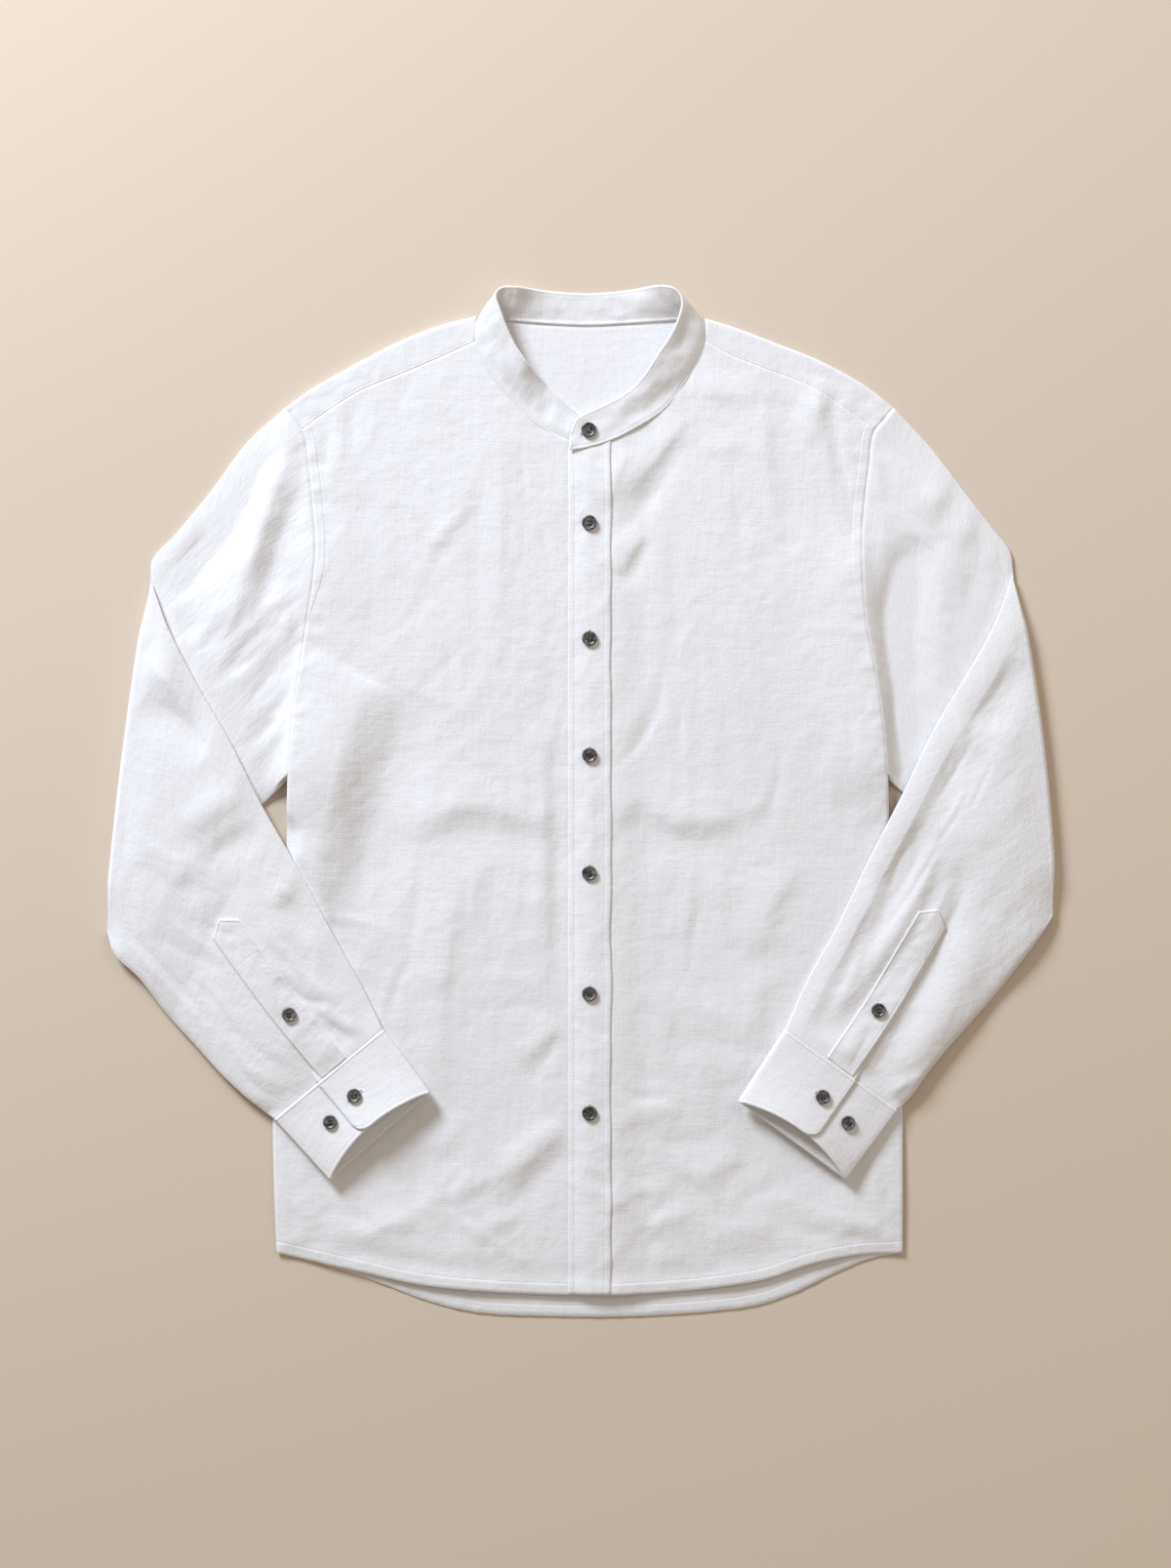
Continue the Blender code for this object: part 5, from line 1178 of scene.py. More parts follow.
# %% Where a cuff lies
def cuff_place(side, t, depth, level):
    """Middle points of a cuff: across from its inner edge, down from its seam, over, under or below."""
    seam_in, seam_out, mouth_in, mouth_out = np.array(CUFFS[side], float)
    t, depth = np.broadcast_arrays(np.asarray(t, float), np.asarray(depth, float))
    arch = 4 * t * (1 - t)
    pull = 0 if level == "below" else CUFF_PULL * arch / np.linalg.norm(mouth_in - seam_in)
    v = (depth * (1 - pull))[..., None]
    u = t[..., None]
    place = (1 - v) * ((1 - u) * seam_in + u * seam_out) + v * ((1 - u) * mouth_in + u * mouth_out)
    height = CUFF_FOOT + CUFF_LIFT * depth ** 1.5
    if level != "below":
        height = height + 2 * CUFF_EDGE + (CUFF_BOW[0] + CUFF_BOW[1] * depth ** 2) * arch
        height = height + CUFF_DENTS * noise(place[..., 0] / 26, place[..., 1] / 26, 120) * smooth(arch * 2)
    if level == "under":
        from_edge = smooth((1 - t) / 0.12)
        height = height - CUFF_LAP * from_edge - 2 * (CUFF_EDGE - CUFF_UNDER_EDGE) * (1 - from_edge)
    return np.concatenate([place, height[..., None]], axis=-1)

# %% Sleeve shape
SLIT = {"right": 4, "left": 5}  # which of twelve columns across each sleeve is slit above the cuff
PUFF_PLACE = (0.32, 0.4)  # where the upper sleeve holds most air: s and t
SEWN_EASE = 0.2  # share of the upper sleeve that leads away from the fronts' height
CREASED_FROM = 0.09  # share of it in which its creases begin
SEWN_FLAT = 0.93  # from here on the forearm comes down to the cuff's seam
LOWEST_TOP = 1.6  # least height of an upper layer above the floor layer
THINNEST = 1.4  # least space between the layers of a forearm
CUFF_SEAM_DROP = 0.35  # how far a sleeve's end lies below the face of the cuff


def between(table, s, t):
    """Places on the floor between the two edges of a table."""
    rows = spline(table, s, even=True)
    return rows[..., :2] * (1 - t)[..., None] + rows[..., 2:] * t[..., None]


def from_edge(table, s, t):
    """Distance from the nearer edge of the tube."""
    rows = spline(table, s, even=True)
    return np.minimum(t, 1 - t) * np.hypot(rows[..., 2] - rows[..., 0], rows[..., 3] - rows[..., 1])


class Sleeve:
    """A flattened tube. s runs along the upper sleeve or the forearm, t across from the over-arm edge."""

    def __init__(self, side):
        self.side = side
        self.armhole = ARMHOLE[side]
        self.upper = np.array(UPPER_SLEEVES[side], float)
        self.fore = np.array(FOREARMS[side], float)
        self.outward = FOLD_OUTWARD[side]
        upper_outline = np.vstack([spline(self.armhole, np.linspace(0, 1, 12)),
                                   self.upper[1:, 2:], self.upper[::-1, :2]])
        self.supports = (upper_outline, closed(BODY_OUTLINE))
        self.seam = aside(spline(self.armhole, SAMPLES), 0.1 * SIGN[side])
        columns = np.linspace(YOKE_FRACTION[side], 1, 12)
        self.slit_t = columns[SLIT[side]:SLIT[side] + 2].mean()

    def upper_plan(self, s, t):
        """Where the upper sleeve lies: its end follows the armhole, and its fold bows outward."""
        chord = self.upper[0, :2] * (1 - t)[..., None] + self.upper[0, 2:] * t[..., None]
        seam = np.stack([np.interp(t, SAMPLES, self.seam[:, i]) for i in (0, 1)], axis=-1)
        bow = ELBOW_BOW[self.side] * 4 * t * (1 - t) * s ** 3
        return (between(self.upper, s, t) + (seam - chord) * ((1 - s) ** 2)[..., None]
                + bow[..., None] * self.outward)

    def upper_low(self, s, t, plan):
        """Height of its lower layer, which lies on the floor."""
        free = smooth(s / 0.2) * smooth((1 - s) / 0.2) * smooth(t / 0.1) * smooth((1 - t) / 0.1)
        return LOW + free * np.clip(0.3 + 0.5 * crumple(plan[..., 0], plan[..., 1], 80), 0, 0.6)

    def upper_top(self, s, t, plan):
        """Height of its upper layer, which starts level with the fronts at the armhole."""
        x, y = plan[..., 0], plan[..., 1]
        press, thick, _ = elbow_press(self.side, x, y)
        off_s, off_t = (s - PUFF_PLACE[0]) / 0.25, (t - PUFF_PLACE[1]) / 0.25
        puff = SLEEVE_PUFF[self.side] * np.exp(-off_s ** 2 - off_t ** 2)
        soft = 1 - np.exp(-from_edge(self.upper, s, t) / SOFT_EDGE)
        free = ease_out(s / CREASED_FROM) * smooth(1.8 * soft) * (1 - press)
        relief = creased(f"upper sleeve {self.side}", x, y) + crumple(x, y, 90, 50.0 * -SIGN[self.side])
        full = EDGE_THICK + soft * (SLEEVE_THICK - EDGE_THICK + puff)
        own = LOW + full + (thick - full) * press
        seam = spline(self.armhole, np.clip(t, YOKE_FRACTION[self.side], 1))
        sewn = body_height(seam[..., 0], seam[..., 1])
        share = ease_out(s / SEWN_EASE)
        height = soft_min(sewn * (1 - share) + own * share + free * relief, under_arm(x, y))
        return np.maximum(height, LOW + LOWEST_TOP)

    def fore_plan(self, s, t):
        """Where the forearm lies, with the same bow at its fold."""
        bow = ELBOW_BOW[self.side] * 4 * t * (1 - t) * (1 - s) ** 3
        return between(self.fore, s, t) + bow[..., None] * self.outward

    def fore_low(self, s, t, plan):
        """Height of its lower layer, which rests on the upper sleeve and the fronts."""
        x, y = plan[..., 0], plan[..., 1]
        out = np.minimum(*(nearest(outline, x, y)[0] for outline in self.supports))
        held = inside(self.supports[0], x, y) | inside(self.supports[1], x, y)
        support = np.where(held, 1.0, 1 - smooth(out / FOREARM_FALL))
        return LOW + (arm_lift(self.side, x, y) - LOW) * np.maximum(support, 1 - smooth(s / 0.12))

    def fore_top(self, s, t, plan):
        """Height of its upper layer, which ends at the cuff's seam."""
        x, y = plan[..., 0], plan[..., 1]
        press, thick, _ = elbow_press(self.side, x, y)
        softness = SOFT_EDGE - (SOFT_EDGE - CRISP_EDGE) * smooth(2 * t - 1)
        soft = 1 - np.exp(-from_edge(self.fore, s, t) / softness)
        free = (1 - press ** 2) * smooth((1 - s) / 0.03) * smooth(1.8 * soft)
        relief = creased(f"forearm {self.side}", x, y) + crumple(x, y, 100, 55.0)
        puff = FOREARM_PUFF * smooth(s / 0.2) * 4 * t * (1 - t)
        lap = CUFF_LAP * smooth((s - 0.8) / 0.2) * smooth((t - self.slit_t) / 0.05 + 0.5)
        full = EDGE_THICK + soft * (SLEEVE_THICK - EDGE_THICK + puff)
        own = full + (thick - full) * press + relief * free
        height = self.fore_low(s, t, plan) + np.maximum(own, THINNEST) - lap
        over, under = (cuff_place(self.side, t, 0 * t, level)[..., 2] for level in ("over", "under"))
        sewn = np.where(t < CUFF_END[self.side], over, under) - CUFF_SEAM_DROP
        held = smooth((s - SEWN_FLAT) / (1 - SEWN_FLAT))
        return height * (1 - held) + sewn * held

    def on_forearm(self, place):
        """The s and t of places on the forearm, by stepping towards them."""
        s, t = np.full(place.shape[:-1], 0.7), np.full(place.shape[:-1], 0.5)
        step = 1e-4
        for _ in range(12):
            here = self.fore_plan(s, t)
            to_s = (self.fore_plan(s + step, t) - here) / step
            to_t = (self.fore_plan(s, t + step) - here) / step
            left = place - here
            area = to_s[..., 0] * to_t[..., 1] - to_s[..., 1] * to_t[..., 0]
            s = s + (left[..., 0] * to_t[..., 1] - left[..., 1] * to_t[..., 0]) / area
            t = t + (to_s[..., 0] * left[..., 1] - to_s[..., 1] * left[..., 0]) / area
        return s, t

# %% Rings of a sleeve
ROUND_EDGE = np.radians(np.linspace(90, -90, 8))  # a half turn round an edge of the tube


def layered_rings(sleeve, plan_of, low_of, top_of, steps, counts, turned=False):
    """Rings of middle points: front of the sleeve, underarm edge, back of it, over-arm edge.

    The front is the upper layer as far as the elbow, and the lower one where the sleeve is turned over.
    """
    def grid(t):
        s, t = np.meshgrid(steps, t, indexing="ij")
        plan = plan_of(s, t)
        return plan, low_of(s, t, plan), top_of(s, t, plan)

    top_t = np.linspace(YOKE_FRACTION[sleeve.side], 1, counts[0] + 1)[:-1]
    low_t = np.linspace(BACK_FRACTION[sleeve.side], 1, counts[1] + 1)[:-1]
    front_plan, front_low, front_top = grid(top_t)
    back_plan, back_low, back_top = grid(low_t)
    ends, end_low, end_top = grid([0.0, 1.0])
    front = np.dstack([front_plan, front_low if turned else front_top])
    back = np.dstack([back_plan, back_top if turned else back_low])[:, ::-1]
    turns = []
    for end, beside in ((1, front_plan[:, -1]), (0, front_plan[:, 0])):
        radius = ((end_top[:, end] - end_low[:, end]) / 2)[:, None, None]
        inward = unit(beside - ends[:, end])[:, None]
        angles = (-ROUND_EDGE if turned == bool(end) else ROUND_EDGE)[None, :, None]
        place = ends[:, end][:, None] + inward * radius * (1 - np.cos(angles))
        z = end_low[:, end][:, None, None] + radius * (1 + np.sin(angles))
        turns.append(np.concatenate([place, z], axis=2))
    return np.concatenate([front, turns[0], back, turns[1]], axis=1)


def sleeve_rings(sleeve, upper_rows=60, fore_rows=126, counts=(100, 100), turn_rows=8):
    """The whole tube: upper sleeve, turn at the elbow, forearm."""
    upper = layered_rings(sleeve, sleeve.upper_plan, sleeve.upper_low, sleeve.upper_top,
                          np.linspace(0, 1, upper_rows), counts)
    fore = layered_rings(sleeve, sleeve.fore_plan, sleeve.fore_low, sleeve.fore_top,
                         np.linspace(0, 1, fore_rows), counts, turned=True)
    elbow = upper[-1]
    _, thick, gap = elbow_press(sleeve.side, elbow[:, 0], elbow[:, 1])
    axis_z = LOW + thick + gap / 2
    radius = axis_z - elbow[:, 2]
    ends = sleeve.upper[-1].reshape(2, 2)
    to_end = np.min([np.linalg.norm(elbow[:, :2] - end, axis=1) for end in ends], axis=0)
    reach = radius * (0.15 + 0.65 * smooth(to_end / ELBOW_CORNER))
    turned = []
    for angle in np.linspace(0, math.pi, turn_rows + 2)[1:]:
        place = elbow[:, :2] + sleeve.outward * (reach * math.sin(angle))[:, None]
        turned.append(np.column_stack([place, axis_z - radius * math.cos(angle)]))
    return np.vstack([upper, np.array(turned), fore[1:]])


SLEEVES = {side: Sleeve(side) for side in SIGN}
sleeve_pieces = {}
for side, sleeve in SLEEVES.items():
    points = sleeve_rings(sleeve)
    grain = grain_of(points, ring=True, middle=50)
    sleeve_pieces[side] = shell(f"sleeve_{side}", points, WALL, linen, grain, ring=True)

# %% [markdown]
# ## Sleeve plackets and cuffs
# The slit above each cuff is bound with a pointed strip, stitched round its edges and across below its
# point. The cuff is a stiff double strip, wrapped round the wrist end: it starts under itself, goes
# round the back and ends on top with a rounded corner.

# %% Sleeve plackets
STRIP_ROWS, STRIP_COLUMNS = 112, 17
STRIP_OVER = (1.5, 1.0)  # how far the strip lies above the sleeve, and how much less at the cuff
STRIP_DENTS = (0.3, 0.15) # heights of its long and its short waves
STRIP_BAR = 29.0  # from the point's base to the stitches that cross the strip
STRIPS = {}


def strip_plan(sleeve):
    """Places of a strip on its sleeve, and how far each is from the tip."""
    s, t = np.array(SLEEVE_PLACKETS[sleeve.side]).T
    dense = spline(sleeve.fore_plan(s, t), np.linspace(0, 1, 200))
    total = length(dense)
    share = np.linspace(-1, 1, STRIP_COLUMNS)
    tip = STRIP_TIP * np.abs(share)
    run = tip + np.linspace(0, 1, STRIP_ROWS)[:, None] * (total * STRIP_FOOT - tip)
    at = run / total
    along = unit(spline(dense, np.minimum(at + 0.01, 1.0)) - spline(dense, at - 0.01 * (at > 0.98)))
    sideways = np.dstack([-along[..., 1], along[..., 0]])
    return spline(dense, at) + sideways * (share * STRIP_WIDTH / 2)[:, None], run, share, tip


def make_strip(side):
    sleeve = SLEEVES[side]
    plan, run, share, tip = strip_plan(sleeve)
    s, t = sleeve.on_forearm(plan)
    s = np.minimum(s, STRIP_FOOT)
    plan = sleeve.fore_plan(s, t)
    half = STRIP_WIDTH / 2
    edge = np.minimum(half * (1 - np.abs(share)), (run - tip) * half / math.hypot(STRIP_TIP, half))
    dents = (STRIP_DENTS[0] * noise(run / 17, share * 1.3 + 0 * run, 110)
             + STRIP_DENTS[1] * noise(run / 7, share * 2 + 0 * run, 111))
    over = STRIP_OVER[0] - STRIP_OVER[1] * smooth((s - SEWN_FLAT) / 0.06)
    height = sleeve.fore_top(s, np.minimum(t, sleeve.slit_t), plan) + over + dents * smooth(edge / 5)
    stitch = edge - SEAM_STITCH
    to_bar = np.abs(run - (STRIP_TIP + STRIP_BAR))
    bar = np.abs(to_bar) < np.abs(stitch)
    marks = (np.where(bar & (edge > SEAM_STITCH), to_bar, stitch), np.where(bar, share * half, run))
    points = np.dstack([plan, height])
    STRIPS[side] = points
    return shell(f"sleeve_placket_{side}", points, PLACKET_WALL, linen, grain_of(points), marks)


strip_pieces = {side: make_strip(side) for side in SIGN}

# %% Cuffs
def cuff_turn(side, t, depth, radius, angle):
    """The turned inner or outer edge of a cuff."""
    base = cuff_place(side, t, depth, "below")
    across = unit(cuff_place(side, 0.5, depth, "below") - base)
    place = base + across * radius * (1 - math.cos(angle))
    place[..., 2] += radius * (1 + math.sin(angle))
    return place


CUFF_ROWS = 41
CUFF_STITCH = 2.2  # from a cuff's edges to its row of stitches
UNDER_START = 0.36  # where the under end begins, as a share of the width
TURN = np.radians(np.linspace(-80, 80, 9))


def make_cuff(side):
    """Columns round the wrist: under end, outer edge, lower layer, inner edge, then the over end."""
    seam_in, seam_out, mouth_in, _ = CUFFS[side]
    width, deep = math.dist(seam_in, seam_out), math.dist(seam_in, mouth_in)
    depths = np.linspace(0, 1, CUFF_ROWS)
    end, corner = CUFF_END[side], CUFF_CORNER / width
    rounded = end - corner * np.cos(np.radians(np.linspace(6, 90, 14)))
    columns = [cuff_place(side, t, depths, "under") for t in np.linspace(UNDER_START, 0.955, 38)]
    columns += [cuff_turn(side, 1.0, depths, CUFF_UNDER_EDGE, angle) for angle in TURN[::-1]]
    columns += [cuff_place(side, t, depths, "below") for t in np.linspace(0.97, 0.04, 40)]
    columns += [cuff_turn(side, 0.0, depths, CUFF_EDGE, angle) for angle in TURN]
    for t in np.concatenate([np.linspace(0.035, end - corner, 34), rounded]):
        part = np.clip((t - end) / corner + 1, 0, 1)
        short = CUFF_CORNER * (1 - math.sqrt(1 - part ** 2)) / deep
        columns.append(cuff_place(side, t, depths * (1 - short), "over"))
    points = np.array(columns)
    steps = np.linalg.norm(np.diff(points, axis=0), axis=2).mean(axis=1)
    run = np.concatenate([[0.0], np.cumsum(steps)])[:, None]
    down = depths * deep
    to_long_edge = np.minimum(down, deep - down)
    edge = np.minimum(to_long_edge, run[-1] - run)
    run, down = np.broadcast_arrays(run, down)
    along = np.where(run[-1] - run < to_long_edge, down, run)
    grain = np.dstack([down, run]) * MM
    return shell(f"cuff_{side}", points, DOUBLE, linen, grain, (edge - CUFF_STITCH, along))


cuff_pieces = {side: make_cuff(side) for side in SIGN}

# %% [markdown]
# ## Band collar
# The band is one long strip, stiff enough to stand at the back of the neck and to lean in at the
# front, where its over end is rounded and buttoned on the under end. It is made from a table of its
# seam and its top edge, because neither is a plain circle once the shirt lies flat.

# %% Band collar
EASE_SIDES, EASE_BACK, EASE_FRONT = 0.35, 0.9, 0.5  # how much of the band's height is pressed down
COLLAR_STEPS, COLLAR_COLUMNS, CROWD = 264, 22, 1.4  # CROWD brings the columns closer at the seam
COLLAR_STITCH = 1.6  # from the band's edges to its row of stitches
COLLAR_WAVES = ((0.9, 27, 17, 130), (0.5, 12, 14, 131))  # height, length, width and seed of its dents
COLLAR_PUCKER = 0.18  # height of its little puckers
BACK_Y = 376.0  # beyond this the band is sewn to the yoke


def collar_ease(seam):
    """How much lower the band's top edge lies than it would stand: most at the back, least at the sides."""
    back = np.exp(-(seam[:, 0] / 62) ** 4) * smooth((seam[:, 1] - 350) / 25)
    front = smooth((350 - seam[:, 1]) / 45)
    return np.maximum(EASE_SIDES, EASE_BACK * back + EASE_FRONT * front)


def collar_points(steps_round, steps_up, crowd=1.0):
    """Rows round the neck and columns up the band, bowed outward a little between its edges."""
    rows = spline(COLLAR, np.linspace(0, 1, steps_round + 1), even=True)
    up = np.linspace(0, 1, steps_up + 1) ** crowd
    grid = rows[:, None, :3] * (1 - up)[:, None] + rows[:, None, 3:] * up[:, None]
    rise = rows[:, 3:] - rows[:, :3]
    out = unit(np.cross(rise, np.gradient(rows[:, :3] + rows[:, 3:], axis=0)))
    out *= np.sign(out[:, 2])[:, None]
    bow = COLLAR_BOW * np.abs(rise[:, 2])
    grid[..., 2] -= up * (rise[:, 2] * collar_ease(rows[:, :2]))[:, None]
    return grid + out[:, None] * (bow[:, None] * np.sin(np.pi * up))[..., None]


def collar_relief(run, up, rise, behind):
    """Dents, puckers, the sunk right end and the raised foot, as a change of height."""
    arch = smooth(4 * up * (1 - up))
    dents = sum(high * noise(run / long, rise / wide, seed) for high, long, wide, seed in COLLAR_WAVES)
    for place, depth, wide, high_up in COLLAR_DENTS:
        dents = dents + depth * np.exp(-((run - place) / wide) ** 2 - ((up - high_up) / 0.33) ** 2)
    place, tail, drop, crest = COLLAR_ROLL
    sunk = drop * np.where(run > place, np.clip((place + tail - run) / tail, 0, 1) ** 1.8, run / place)
    sunk = sunk - crest * np.exp(-((run - place - tail) / 18) ** 2)
    return (dents * arch + COLLAR_PUCKER * noise(run / 7, rise / 9, 132) * np.sqrt(arch)
            - sunk * smooth((up - 0.05) / 0.95) + WELT * behind * np.exp(-((rise - 1.3) / 1.1) ** 2)
            + BAND_OVER * (1 - behind) * np.exp(-(rise / 7) ** 2))


def make_collar():
    points = collar_points(COLLAR_STEPS, COLLAR_COLUMNS, CROWD)
    up = np.linspace(0, 1, COLLAR_COLUMNS + 1) ** CROWD
    run = np.concatenate([[0.0], np.cumsum(np.linalg.norm(np.diff(points[:, 9], axis=0), axis=1))])[:, None]
    to_end = run[-1] - run
    high = np.linalg.norm(points[:, -1] - points[:, 0], axis=1)[:, None]
    part = np.clip(1 - to_end / COLLAR_CORNER, 0, 1)
    short = COLLAR_CORNER * (1 - np.sqrt(1 - part ** 2)) / high
    for i in np.nonzero(short > 0)[0]:
        kept = up * (1 - short[i])
        points[i] = np.stack([np.interp(kept, up, points[i, :, k]) for k in range(3)], axis=1)
    rise = up * (high * (1 - short))
    behind = smooth((points[:, 0, 1] - BACK_Y) / 4)[:, None]
    points[..., 2] += collar_relief(run, up, rise, behind)
    edge = np.minimum(np.minimum(rise, high * (1 - short) - rise), to_end)
    grain = np.dstack([np.broadcast_to(run, rise.shape), rise]) * MM
    along = np.where(to_end < 3, rise, run)
    return shell("collar_band", points, DOUBLE, lit_linen, grain, (edge - COLLAR_STITCH, along))


collar = make_collar()

# %% [markdown]
# ## Horn buttons
# A button is turned on a lathe, so its profile is spun round: a flat back, a rounded rim and a dished
# middle, then four holes are cut through with a Boolean. Marbling comes from noise in the button's own
# space. The thread is two short bars that go down through the holes.

# %% Horn and thread
def make_horn():
    made, wire, shader = material("dark horn", Roughness=0.32)
    place = wire.node("ShaderNodeTexCoord", out=3)
    info = wire.node("ShaderNodeObjectInfo", out=5)
    cloud = wire.node("ShaderNodeTexNoise", {"noise_dimensions": "4D"},
                      {"Vector": place, "W": info * 40.0, "Scale": 260.0, "Detail": 3.0, "Distortion": 1.2})
    ramp = wire.node("ShaderNodeValToRGB", {"stops": [(0.35, (0.016, 0.015, 0.015, 1)),
                                                      (0.72, (0.25, 0.23, 0.21, 1))]}, {0: cloud})
    wire.tree.links.new(ramp.socket, shader.inputs["Base Color"])
    return made


horn = make_horn()
thread, *_ = material("button thread", Base_Color=(0.05, 0.05, 0.055, 1), Roughness=0.8)
print("horn nodes", len(horn.node_tree.nodes))

# %% Turned buttons
BUTTON_THICK = 2.3
HOLE_RADIUS, HOLE_OFF = 0.8, 1.35  # the four holes, and how far they lie from both middle lines
THREAD_RADIUS, THREAD_SPAN, THREAD_HIGH = 0.36, 1.75, 0.66
# profile of a button: shares of its radius and of its thickness
PROFILE = [(0.80, 0.0), (0.90, 0.04), (0.97, 0.16), (1.0, 0.38), (1.0, 0.62), (0.97, 0.82), (0.92, 0.95),
           (0.86, 1.0), (0.79, 0.98), (0.73, 0.90), (0.66, 0.76), (0.58, 0.68), (0.45, 0.64), (0.25, 0.62)]


def join_rings(shape, rings):
    """Faces between rings of points, closed at both ends."""
    steps = len(rings[0])
    for lower, upper in zip(rings[:-1], rings[1:]):
        for k in range(steps):
            beside = (k + 1) % steps
            shape.faces.new([lower[k], lower[beside], upper[beside], upper[k]])
    shape.faces.new(rings[0][::-1])
    shape.faces.new(rings[-1])


def lathe(shape, profile, steps=64):
    """A profile of radius and height, spun round."""
    turn = np.linspace(0, 2 * math.pi, steps, endpoint=False)
    join_rings(shape, [[shape.verts.new((radius * math.cos(a), radius * math.sin(a), height)) for a in turn]
                       for radius, height in profile])


def tube(shape, path, radius, steps=8, across=(1.0, 0.0, 0.0)):
    """A round bar along a path in millimetres, which nowhere runs in the direction `across`."""
    along = unit(np.gradient(path, axis=0))
    side = unit(np.cross(along, across))
    up = np.cross(side, along)
    turn = np.linspace(0, 2 * math.pi, steps, endpoint=False)
    join_rings(shape, [[shape.verts.new((place + radius * (math.cos(a) * s + math.sin(a) * u)) * MM)
                        for a in turn] for place, s, u in zip(path, side, up)])


def as_object(name, shape):
    """A bmesh turned into an object of the scene."""
    mesh = bpy.data.meshes.new(name)
    shape.to_mesh(mesh)
    shape.free()
    return add(name, mesh)


def drilled_blank(diameter):
    """A turned button with its four holes, as a mesh."""
    radius, thick = diameter / 2 * MM, BUTTON_THICK * MM
    blank, drills = bmesh.new(), bmesh.new()
    lathe(blank, [(r * radius, z * thick) for r, z in PROFILE])
    for sx in (-1, 1):
        for sy in (-1, 1):
            made = bmesh.ops.create_cone(drills, cap_ends=True, segments=20, radius1=HOLE_RADIUS * MM,
                                         radius2=HOLE_RADIUS * MM, depth=10 * MM)
            bmesh.ops.translate(drills, verts=made["verts"], vec=Vector((sx, sy, 0)) * HOLE_OFF * MM)
    body, cutter = as_object("blank", blank), as_object("holes", drills)
    cut = body.modifiers.new("holes", "BOOLEAN")
    cut.operation, cut.solver, cut.object = "DIFFERENCE", "EXACT", cutter
    bpy.context.view_layer.update()
    mesh = bpy.data.meshes.new_from_object(body.evaluated_get(bpy.context.evaluated_depsgraph_get()))
    for spare in (body, cutter):
        bpy.data.objects.remove(spare)
    return mesh


def button_mesh(diameter):
    """A four-hole button with its thread; its origin is the middle of its flat back."""
    mesh = drilled_blank(diameter)
    mesh.materials.clear()
    mesh.materials.append(horn)
    mesh.materials.append(thread)
    shape = bmesh.new()
    shape.from_mesh(mesh)
    before = set(shape.faces)
    for sx in (-1, 1):
        arc = [(sx * HOLE_OFF, THREAD_SPAN * math.cos(a), THREAD_HIGH * BUTTON_THICK + 0.5 * math.sin(a))
               for a in np.linspace(0.15, math.pi - 0.15, 9)]
        ends = [(x, y * 0.9, 0.3) for x, y, _ in (arc[0], arc[-1])]
        tube(shape, np.array([ends[0], *arc, ends[1]]), THREAD_RADIUS)
    for face in shape.faces:
        if face not in before:
            face.material_index = 1
    shape.to_mesh(mesh)
    shape.free()
    mesh.shade_smooth()
    mesh.set_sharp_from_angle(angle=math.radians(40))
    return mesh


FRONT_DIAMETER, SLEEVE_DIAMETER = 12.0, 11.4
front_button, sleeve_button = button_mesh(FRONT_DIAMETER), button_mesh(SLEEVE_DIAMETER)
print("a button has", len(front_button.polygons), "faces")

# %% [markdown]
# ## Buttons sewn on, and their holes
# Every button sits on the cloth where the shirt is closed, tilted with it and turned a little, as
# nobody sews them all alike. Under it lies its buttonhole: a long ring of close stitches that runs up
# the placket, and along the collar and the cuffs. Each stands a little way off the cloth's middle.

# %% Sewing on
HOLE_LONG, HOLE_WIDE = 7.4, 1.15  # half the length and half the width of a buttonhole
HOLE_CORD, HOLE_SQUARE = 0.34, 0.6  # radius of its stitches, and how square its ends are
hole_thread, *_ = material("buttonhole thread", Base_Color=(0.80, 0.79, 0.78, 1), Roughness=0.8)
# how far a button's back and its buttonhole lie off the middle of the cloth
LIFT = {"front": (1.0, 0.65), "collar": (1.6, 1.15), "sleeve": (1.3, 0.65), "cuff": (1.5, 1.1)}
# how far each is turned, in degrees: front buttons from the top, then the others
FRONT_SPINS = (17, 50, 5, 31, 64, 22)
SPIN = {"collar": 40, "sleeve": 12, "cuff": 28}
holes, buttons = {}, []


def sew_on(name, mesh, point, normal, lift, spin):
    """A button whose flat back stands just above a point of the cloth, turned a little."""
    piece = put(name, mesh)
    normal = Vector(normal).normalized()
    if normal.z < 0:
        normal = -normal
    piece.location = (Vector(point) + normal * lift + Vector((*CENTRE, 0.0))) * MM
    piece.rotation_mode = "QUATERNION"
    turn = Quaternion((0, 0, 1), math.radians(spin))
    piece.rotation_quaternion = normal.to_track_quat("Z", "Y") @ turn
    buttons.append(piece)


def rounded(values):
    """Sines or cosines whose turns are drawn out towards a rectangle's."""
    return np.sign(values) * np.abs(values) ** HOLE_SQUARE


def worked_hole(cloth_node, point, normal, along, lift):
    """The ring of close stitches round a buttonhole, lying on the cloth under its button."""
    normal = unit(np.array(normal))
    normal = normal * math.copysign(1, normal[2])
    along = unit(np.array(along))
    angle = np.linspace(0, 2 * math.pi, 49)
    path = (np.outer(HOLE_LONG * rounded(np.cos(angle)), along)
            + np.outer(HOLE_WIDE * rounded(np.sin(angle)), np.cross(normal, along)) + normal * lift + point)
    shape = bmesh.new()
    tube(shape, path + np.array((*CENTRE, 0.0)), HOLE_CORD, across=normal)
    count = sum(len(rings) for rings in holes.values())
    piece = as_object(f"buttonhole_{count + 1}", shape)
    piece.data.materials.append(hole_thread)
    piece.data.shade_smooth()
    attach(piece, "root")
    holes.setdefault(cloth_node, []).append(piece)

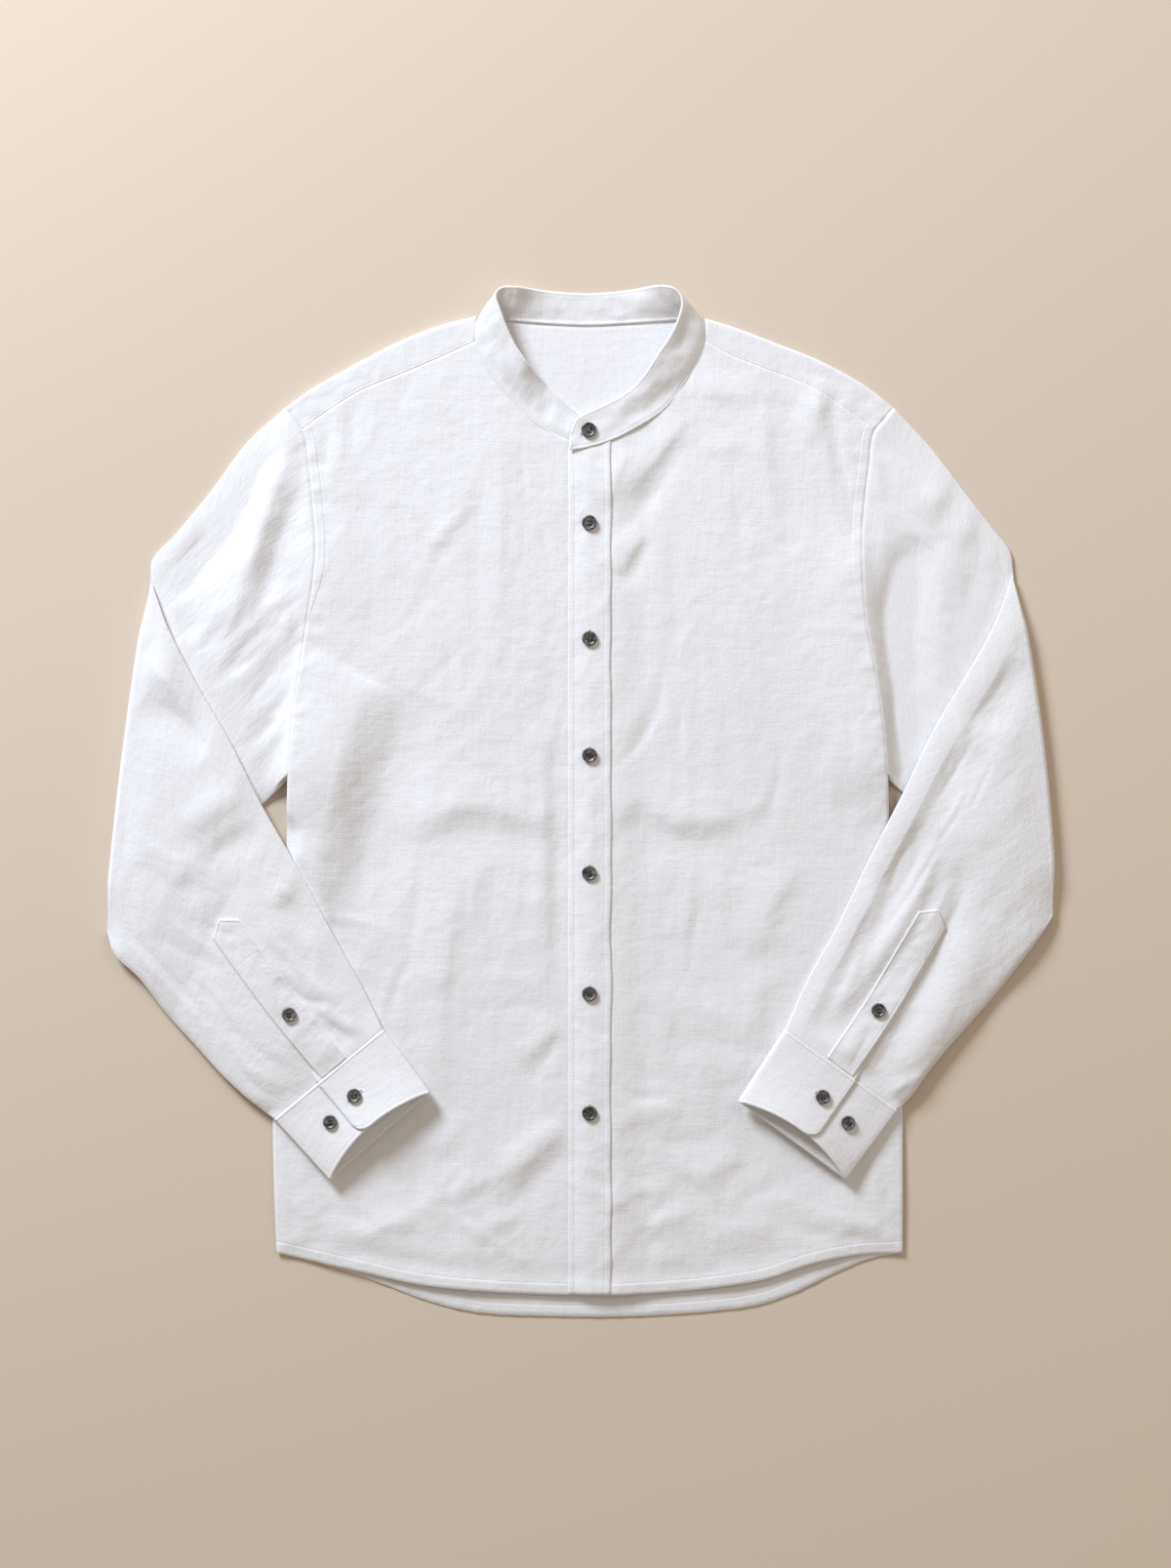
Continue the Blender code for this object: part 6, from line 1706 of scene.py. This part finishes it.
# %% Front and collar buttons
AROUND = 4.0  # the slope is read this far to each side of a button
for number, (y, spin) in enumerate(zip(FRONT_BUTTONS_Y, FRONT_SPINS), start=1):
    around = np.array([[0, 0], [AROUND, 0], [-AROUND, 0], [0, AROUND], [0, -AROUND]]) + (BUTTON_X, y)
    z = placket_height(around[:, 0], around[:, 1])
    point = (BUTTON_X, y, z.mean())
    normal = ((z[2] - z[1]) / (2 * AROUND), (z[4] - z[3]) / (2 * AROUND), 1.0)
    sew_on(f"button_front_{number}", front_button, point, normal, LIFT["front"][0], spin)
    worked_hole("front_placket", point, normal, (0, 1, -normal[1]), LIFT["front"][1])
band = collar_points(44, 4)
point = 0.75 * band[-3, 2] + 0.25 * band[-4, 2]
along = band[-2, 2] - band[-5, 2]
normal = np.cross(along, band[-3, 3] - band[-3, 1])
sew_on("button_collar", front_button, point, normal, LIFT["collar"][0], SPIN["collar"])
worked_hole("collar_band", point, normal, along, LIFT["collar"][1])

# %% Sleeve and cuff buttons
for side in SIGN:
    points = STRIPS[side]
    row, mid = round(STRIP_BUTTON * (STRIP_ROWS - 1)), STRIP_COLUMNS // 2
    along = points[row + 4, mid] - points[row - 4, mid]
    normal = np.cross(along, points[row, mid + 4] - points[row, mid - 4])
    point = points[row - 3:row + 4, mid - 3:mid + 4].mean(axis=(0, 1))
    sew_on(f"button_sleeve_{side}", sleeve_button, point, normal, LIFT["sleeve"][0], SPIN["sleeve"])
    worked_hole(f"sleeve_placket_{side}", point, normal, along, LIFT["sleeve"][1])
    for level, (t, depth) in CUFF_BUTTONS[side].items():
        point = cuff_place(side, t, depth, level)
        along = cuff_place(side, t + 0.05, depth, level) - cuff_place(side, t - 0.05, depth, level)
        down = cuff_place(side, t, depth + 0.05, level) - cuff_place(side, t, depth - 0.05, level)
        normal = np.cross(along, down)
        sew_on(f"button_cuff_{side}_{level}", sleeve_button, point, normal, LIFT["cuff"][0], SPIN["cuff"])
        if level == "over":
            worked_hole(f"cuff_{side}", point, normal, along, LIFT["cuff"][1])
print("buttons", len(buttons), "buttonholes", sum(len(rings) for rings in holes.values()))

# %% [markdown]
# ## How much of its cut each piece fills
# Each cloth piece is listed with the size it was cut and the pieces it rests on, and the share of
# that size that its cloth fills is printed.

# %% Cut sizes of the cloth
# each cloth piece, its cut size in metres and the pieces it rests on
CUTS = {
    "back": (back, (0.505, 0.70), []),
    "yoke": (yoke, (0.49, 0.145), ["back"]),
    "front_right": (front_right, (0.262, 0.76), ["back"]),
    "front_left": (front_left, (0.255, 0.76), ["back", "front_right"]),
    "front_placket": (placket, (0.033, 0.676), ["front_left"]),
    "collar_band": (collar, (0.440, 0.033), ["yoke"]),
    "sleeve_right": (sleeve_pieces["right"], (0.56, 0.47), ["back"]),
    "sleeve_placket_right": (strip_pieces["right"], (0.027, 0.145), ["sleeve_right"]),
    "cuff_right": (cuff_pieces["right"], (0.064, 0.24), ["front_right"]),
    "sleeve_left": (sleeve_pieces["left"], (0.56, 0.45), ["back"]),
    "sleeve_placket_left": (strip_pieces["left"], (0.027, 0.140), ["sleeve_left"]),
    "cuff_left": (cuff_pieces["left"], (0.067, 0.24), ["front_left"]),
}
FOLDED = ("sleeve_right", "sleeve_left", "cuff_right", "cuff_left")
for node, (piece, flat, under) in CUTS.items():
    whole = flat[0] * flat[1]
    "folded" if node in FOLDED else "laid"
    min(CLOTH_AREA[node], 0.999 * whole)
    print(node, "fills", round(CLOTH_AREA[node] / whole, 2), "of its cut")

# %% [markdown]
# ## Floor, light and camera
# A plain pale floor and one large soft light, low on the upper left, so that the creases are drawn by
# their own shading. The rest of the light comes evenly from the world. The camera looks straight down.

# %% Floor
HALF = 4.0
floor_shape = bpy.data.meshes.new("floor")
floor_shape.from_pydata([(-HALF, -HALF, 0), (HALF, -HALF, 0), (HALF, HALF, 0), (-HALF, HALF, 0)], [],
                        [(0, 1, 2, 3)])
floor = add("floor", floor_shape)
floor_finish, *_ = material("pale floor", Base_Color=(0.71, 0.60, 0.475, 1), Roughness=0.85)
floor_shape.materials.append(floor_finish)

# %% Light
def soft_lamp(name, across, watts, colour, place):
    """A round lamp that points at the middle of the shirt."""
    lamp = bpy.data.lights.new(name, "AREA")
    lamp.shape = "DISK"
    lamp.size = across
    lamp.energy = watts
    lamp.color = colour
    stand = add(name, lamp)
    stand.location = place
    stand.rotation_euler = (-stand.location).to_track_quat("-Z", "Y").to_euler()


soft_lamp("key", 1.2, 182.0, (0.76, 0.85, 1.0), (-1.85, 2.70, 1.65))
soft_lamp("bounce", 1.6, 12.0, (1.0, 0.95, 0.90), (1.9, 1.1, 2.0))
world = bpy.data.worlds.new("studio")
scene.world = world
world.use_nodes = True
world.node_tree.nodes["Background"].inputs["Color"].default_value = (1.0, 0.88, 0.74, 1)
world.node_tree.nodes["Background"].inputs["Strength"].default_value = 0.34
scene.view_settings.view_transform = "Standard"

# %% Camera
# a long lens at 2.4 m, so the shirt fills the frame and its edges are seen from almost straight above
lens = bpy.data.cameras.new("above")
lens.lens = 68.95
lens.sensor_width = 36.0
camera = add("above", lens)
camera.location = (0.00415, 0.0147, 2.4)
bpy.context.scene.camera = camera
